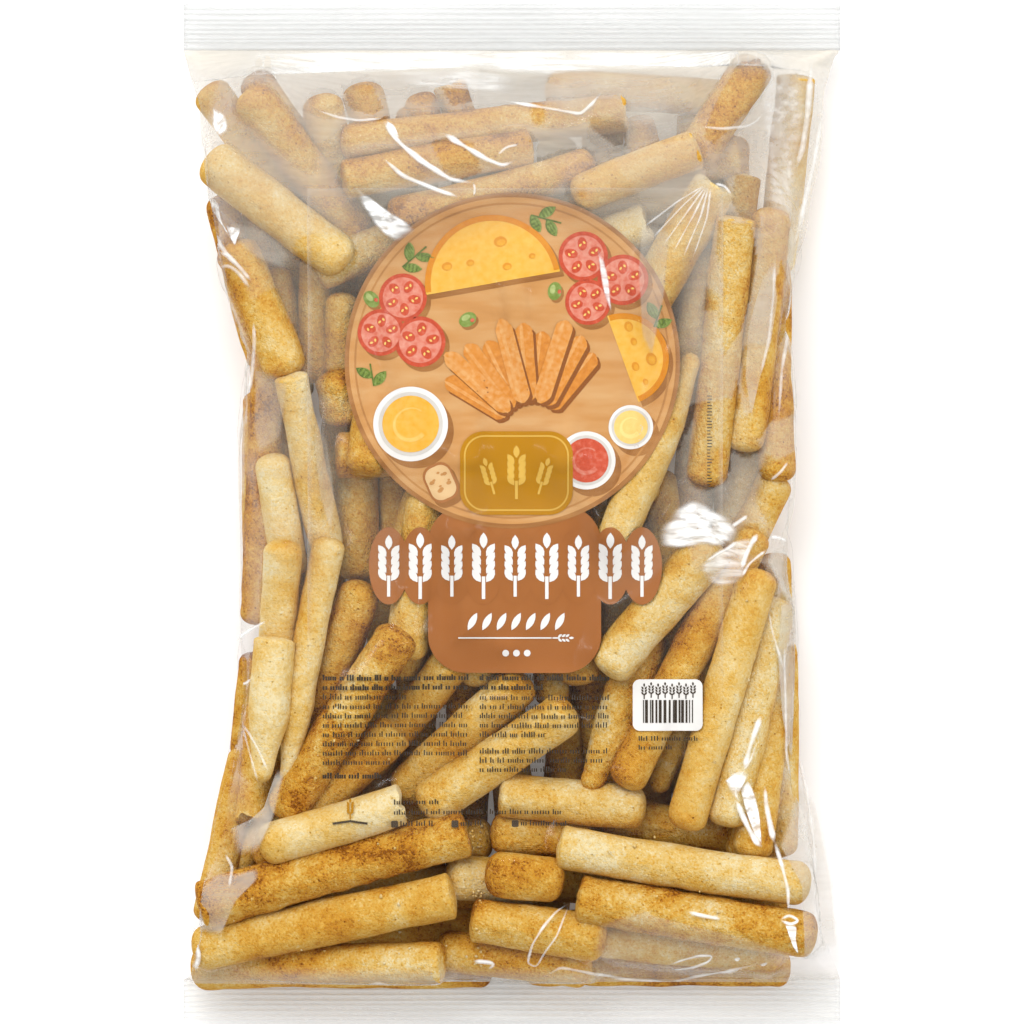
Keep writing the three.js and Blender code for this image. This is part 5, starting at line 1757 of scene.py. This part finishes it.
def drawPanel():
    fillOutline("brown", roundBox(*panel["box"]), ground - panel["under"])
    middle, y = panel["earMiddle"]
    tint = panel["tint"]
    for k in range(panel["ears"]):
        x = middle + (k - (panel["ears"] - 1) / 2) * panel["earPitch"]
        over = shadow + panel["scallopPart"] * (k % 2)
        fillOutline("brown", arc(x, y, *panel["scallop"]), over, panel["scallopTint"])
        drawEar(x, y, panel["earHeights"][k % 2], "white", detail, tint)
    x, y = panel["grainStart"]
    for k in range(panel["grains"]):
        fillGrain("white", x + panel["grainPitch"] * k, y, *panel["grain"], body, tint)
    fillRibbon("white", panel["rule"], panel["ruleWidth"], body, tint)
    drawEar(*panel["ruleEar"], "white", body, tint, turn=0, pairs=3)
    x, y = panel["dotStart"]
    for k in range(panel["dots"]):
        dot = arc(x + panel["dotPitch"] * k, y, panel["dot"], panel["dot"])
        fillOutline("white", dot, body, tint)


# The gold plaque with a border line and three ears.
plaque = {
    "box": (1.4, 12.3, 35.6, 26.4, 7.5), "tint": -0.02,
    "border": (1.4, 12.3, 32.6, 23.4, 6.2), "borderWidth": 0.28, "borderTint": 0.75,
    "ears": ((1.4, 12.6, 17, 90), (-7.2, 11.4, 12, 106), (10.0, 11.4, 12, 74)), "earTint": 0.95,
}


def drawPlaque():
    fillOutline("gold", roundBox(*plaque["box"]), light, plaque["tint"])
    border = roundBox(*plaque["border"])
    closed = np.concatenate([border, border[:1]])
    fillRibbon("gold", closed, plaque["borderWidth"], gilding, plaque["borderTint"])
    for x, y, height, turn in plaque["ears"]:
        drawEar(x, y, height, "gold", gilding, plaque["earTint"], turn)


# Rows of small upright ticks in groups, standing in for small print.
ticks = {
    "width": 0.2, "tint": -0.1, "boldWidth": 0.3, "boldTint": -0.4,
    "tall": (1.0, 1.0, 1.0, 1.5), "group": (2, 9), "pitch": (0.66, 0.92), "gap": 0.75,
    "lastRow": (0.45, 0.8), "spare": 1,
}
# Each block of rows: from and to which x, first y, rows, pitch, height of a tick and bold rows.
smallPrint = {
    "blocks": (
        (-59.5, -14, -53.2, 3, 3.0, 1.25, (0, 1)), (-59.5, -14, -62.2, 7, 2.95, 1.15, ()),
        (-59.5, -20, -84.2, 1, 3.0, 1.25, (0,)), (-10, 30.5, -53.2, 2, 3.0, 1.25, (0, 1)),
        (-10, 30.5, -59.4, 5, 2.9, 1.15, ()), (-10, 30.5, -76.2, 3, 2.9, 1.15, ()),
        (-37, -10, -92.2, 1, 2.9, 1.1, ()), (-37, 61.5, -95.4, 1, 2.9, 1.1, ()),
    ),
    # three lines that start with a square dot
    "dotted": ((-37, -20), (-18, -2), (1, 25)), "dottedY": -99, "dottedRow": (2.9, 1.1), "dotWide": 2.2,
    "dotCorner": 0.5, "dotRise": 0.6, "dotTint": 0.1,
    # a column of ticks that lie across, up the right side
    "column": 34, "columnFoot": (61.6, 3.6), "across": (1.0, 1.5), "acrossWidth": 0.17,
    # an ear over a ground line
    "ear": (-51, -93.5, 6.5), "earTint": -0.2,
    "ground": ((-56.5, -98.2), (-51, -97.4), (-45.5, -98.2)), "groundWidth": 0.35,
    "seed": 5,
}


def drawLines(x0, x1, y, count, pitch, height, bold, rng):
    for k in range(count):
        x, row = x0, y - k * pitch
        last = x0 + (x1 - x0) * (rng.uniform(*ticks["lastRow"]) if k == count - 1 else 1)
        wide, tint = ((ticks["boldWidth"], ticks["boldTint"]) if k in bold
                      else (ticks["width"], ticks["tint"]))
        while x < last - ticks["spare"]:
            for _ in range(rng.integers(*ticks["group"])):
                if x > last:
                    break
                tall = height * rng.choice(ticks["tall"])
                fillRibbon("dark", [(x, row), (x, row + tall)], wide, fine, tint)
                x += rng.uniform(*ticks["pitch"])
            x += ticks["gap"]


def drawSmallPrint():
    rng = np.random.default_rng(smallPrint["seed"])
    tint, wide = smallPrint["dotTint"], smallPrint["dotWide"]
    for block in smallPrint["blocks"]:
        drawLines(*block, rng)
    for x, last in smallPrint["dotted"]:
        y = smallPrint["dottedY"]
        dot = roundBox(x, y + smallPrint["dotRise"], wide, wide, smallPrint["dotCorner"])
        fillOutline("dark", dot, fine, tint)
        drawLines(x + 2, last, y, 1, *smallPrint["dottedRow"], (), rng)
    x, y = smallPrint["columnFoot"]
    for k in range(smallPrint["column"]):
        tick = [(x, y + k), (x + rng.choice(smallPrint["across"]), y + k)]
        fillRibbon("dark", tick, smallPrint["acrossWidth"], fine, tint)
    drawEar(*smallPrint["ear"], "gold", fine, smallPrint["earTint"])
    fillRibbon("dark", smallPrint["ground"], smallPrint["groundWidth"], fine, tint)


# The white code field: plain bars of no meaning under a row of ears, and two rows of ticks.
codeField = {
    "middle": (49.1, -60.9), "size": (22, 16.2), "corner": 2.2, "tint": 0.1,
    "barsAt": (-7.6, 8.2), "barEnds": (-5.6, 1.6), "barTint": -0.4,
    "barWidths": (0.16, 0.16, 0.3, 0.45), "barGaps": (0.35, 0.35, 0.6),   # half widths, and gaps
    "ears": 8, "earStart": (-7.4, 4.4), "earPitch": 2.2, "earRise": 0.4, "earHeight": 5.0, "earTint": -0.1,
    "ticks": (-9, 10, -11.2), "tickRows": (2, 2.8, 1.0), "seed": 9,
}


def drawCodeField():
    cx, cy = codeField["middle"]
    rng = np.random.default_rng(codeField["seed"])
    field = roundBox(cx, cy, *codeField["size"], codeField["corner"])
    fillOutline("white", field, shadow, codeField["tint"])
    x, last = (cx + part for part in codeField["barsAt"])
    foot, head = (cy + part for part in codeField["barEnds"])
    while x < last:
        wide = rng.choice(codeField["barWidths"])
        fillRibbon("dark", [(x, foot), (x, head)], wide, detail, codeField["barTint"])
        x += wide * 2 + rng.choice(codeField["barGaps"])
    x, y = codeField["earStart"]
    for k in range(codeField["ears"]):
        rise = codeField["earRise"] * (k % 2)
        drawEar(cx + x + codeField["earPitch"] * k, cy + y + rise, codeField["earHeight"], "dark",
                detail, codeField["earTint"], pairs=3)
    x, last, y = codeField["ticks"]
    drawLines(cx + x, cx + last, cy + y, *codeField["tickRows"], (), rng)


def layPrint():
    for ink, shapes in inkShapes.items():
        points, quads, tris, tints = [], [], [], []
        start = 0
        for flat, quadFaces, triFaces, level, tint in shapes:
            depth = printing["depth"] - printing["layer"] * level
            points.append(np.column_stack([flat, onFilm(flat) - depth]))
            quads.append(quadFaces + start)
            tris.append(triFaces + start)
            tints.append(np.full(len(flat), tint))
            start += len(flat)
        setting = inks[ink]
        material = printedInk("flexoInk_" + ink, setting)
        faces = [np.concatenate(quads), np.concatenate(tris)]
        makePiece(ink + "Print", np.concatenate(points), faces, material,
                  {"tint": np.concatenate(tints)})
        print(ink + "Print", start, "points")


drawBoard()
drawPanel()
drawPlaque()
drawSmallPrint()
drawCodeField()
layPrint()

# Sheets of film that lie against the bag, seen by their faintly milky edges: the clear label that
# carries the print, whose lower edge doesn't show, and the lap of the back seam.
sheets = {
    "labelField": {
        "x": (-64.6, 66.6), "y": (-101.9, 102.2), "points": (78, 121), "side": "front", "over": -0.52,
        "haze": 0.005, "edgeHaze": 0.25, "edgeWidth": 1.0, "hemmed": True, "seenFrom": -70, "seenOver": 60,
    },
    "backSeam": {
        "x": (-11, 11), "y": (bodyBottom, bodyTop), "points": (12, 150), "side": "back", "over": 0.14,
        "haze": 0.02, "edgeHaze": 0.12, "edgeWidth": 1.5, "hemmed": False, "seenFrom": -200, "seenOver": 1,
    },
}


def makeSheet(name):
    sheet = sheets[name]
    lines = [np.linspace(*ends, count) for ends, count in zip((sheet["x"], sheet["y"]), sheet["points"])]
    flat = np.stack(np.meshgrid(*lines, indexing="ij"), -1)
    x, y = flat[..., 0], flat[..., 1]
    border = np.minimum(x - sheet["x"][0], sheet["x"][1] - x)
    if sheet["hemmed"]:   # its ends show as its sides do
        border = np.minimum(border, np.minimum(y - sheet["y"][0], sheet["y"][1] - y))
    seen = smooth((y - sheet["seenFrom"]) / sheet["seenOver"])
    haze = sheet["haze"] + sheet["edgeHaze"] * seen * np.exp(-(border / sheet["edgeWidth"]) ** 2)
    points = np.stack([x, y, onFilm(flat, sheet["side"]) + sheet["over"]], -1).reshape(-1, 3)
    makePiece(name, points, [gridFaces(*sheet["points"])], clearMaterial,
              {"haze": haze.ravel()})
    print(name, "made")


for name in sheets:
    makeSheet(name)

# Matt coated paper, rolled out flat: an even white that shows soft shadows and no shine.
stage = {
    "floor": "#F8F8F8", "floorRoughness": 0.9, "floorGlow": 0.1, "floorSize": 6.0,
    "world": "#FFFFFF", "worldStrength": 0.72,
}


def makeStage():
    material, tree = newMaterial("mattPaperSweep")
    paper = addNode(tree, "BsdfPrincipled", {
        "Base Color": toLinear(stage["floor"]), "Roughness": stage["floorRoughness"],
        "Emission Color": toLinear(stage["world"]), "Emission Strength": stage["floorGlow"],
    })
    addNode(tree, "OutputMaterial", links={"Surface": paper})
    mesh = bpy.data.meshes.new("floor")
    h = stage["floorSize"] / 2
    mesh.from_pydata([(-h, -h, 0), (h, -h, 0), (h, h, 0), (-h, h, 0)], [], [(0, 1, 2, 3)])
    mesh.materials.append(material)
    floor = bpy.data.objects.new("floor", mesh)
    bpy.context.scene.collection.objects.link(floor)
    world = bpy.data.worlds.new("studio")
    world.use_nodes = True
    background = world.node_tree.nodes["Background"]
    background.inputs[0].default_value = toLinear(stage["world"])
    background.inputs[1].default_value = stage["worldStrength"]
    bpy.context.scene.world = world
    bpy.context.scene.view_settings.view_transform = "Standard"


# name, place, size across and down in metres, watts, seen in reflections
lights = [
    ("keySoftbox", (-0.45, 1.15, 1.7), (1.3, 1.1), 28, False),
    ("fillSoftbox", (1.5, -0.2, 1.3), (0.8, 1.0), 8, False),
    ("leftStrip", (-1.45, 0.5, 1.25), (0.06, 1.3), 4, True),
    ("rightStrip", (1.5, 0.2, 1.1), (0.05, 1.2), 3, True),
    ("topStrip", (0.1, 1.9, 1.0), (1.3, 0.07), 4, True),
]


def makeLights():
    for name, place, size, watts, reflected in lights:
        light = bpy.data.lights.new(name, "AREA")
        light.shape = "RECTANGLE"
        light.size, light.size_y = size
        light.energy = watts
        lamp = bpy.data.objects.new(name, light)
        lamp.location = place
        lamp.rotation_euler = (-Vector(place)).to_track_quat("-Z", "Y").to_euler()
        lamp.visible_glossy = reflected
        bpy.context.scene.collection.objects.link(lamp)


# Metres. The frame is so wide at the seals' height, and the lens follows from that.
camera = {"height": 2.5, "frameWidth": 0.32768, "sealHeight": 0.012, "sensor": 36.0, "clipEnd": 20}


def makeCamera():
    data = bpy.data.cameras.new("camera")
    data.sensor_width = camera["sensor"]
    data.lens = camera["sensor"] * (camera["height"] - camera["sealHeight"]) / camera["frameWidth"]
    data.clip_end = camera["clipEnd"]
    eye = bpy.data.objects.new("camera", data)
    eye.location = (0, 0, camera["height"])
    bpy.context.scene.collection.objects.link(eye)
    bpy.context.scene.camera = eye


makeStage()
makeLights()
makeCamera()
print("stage, lights and camera set")
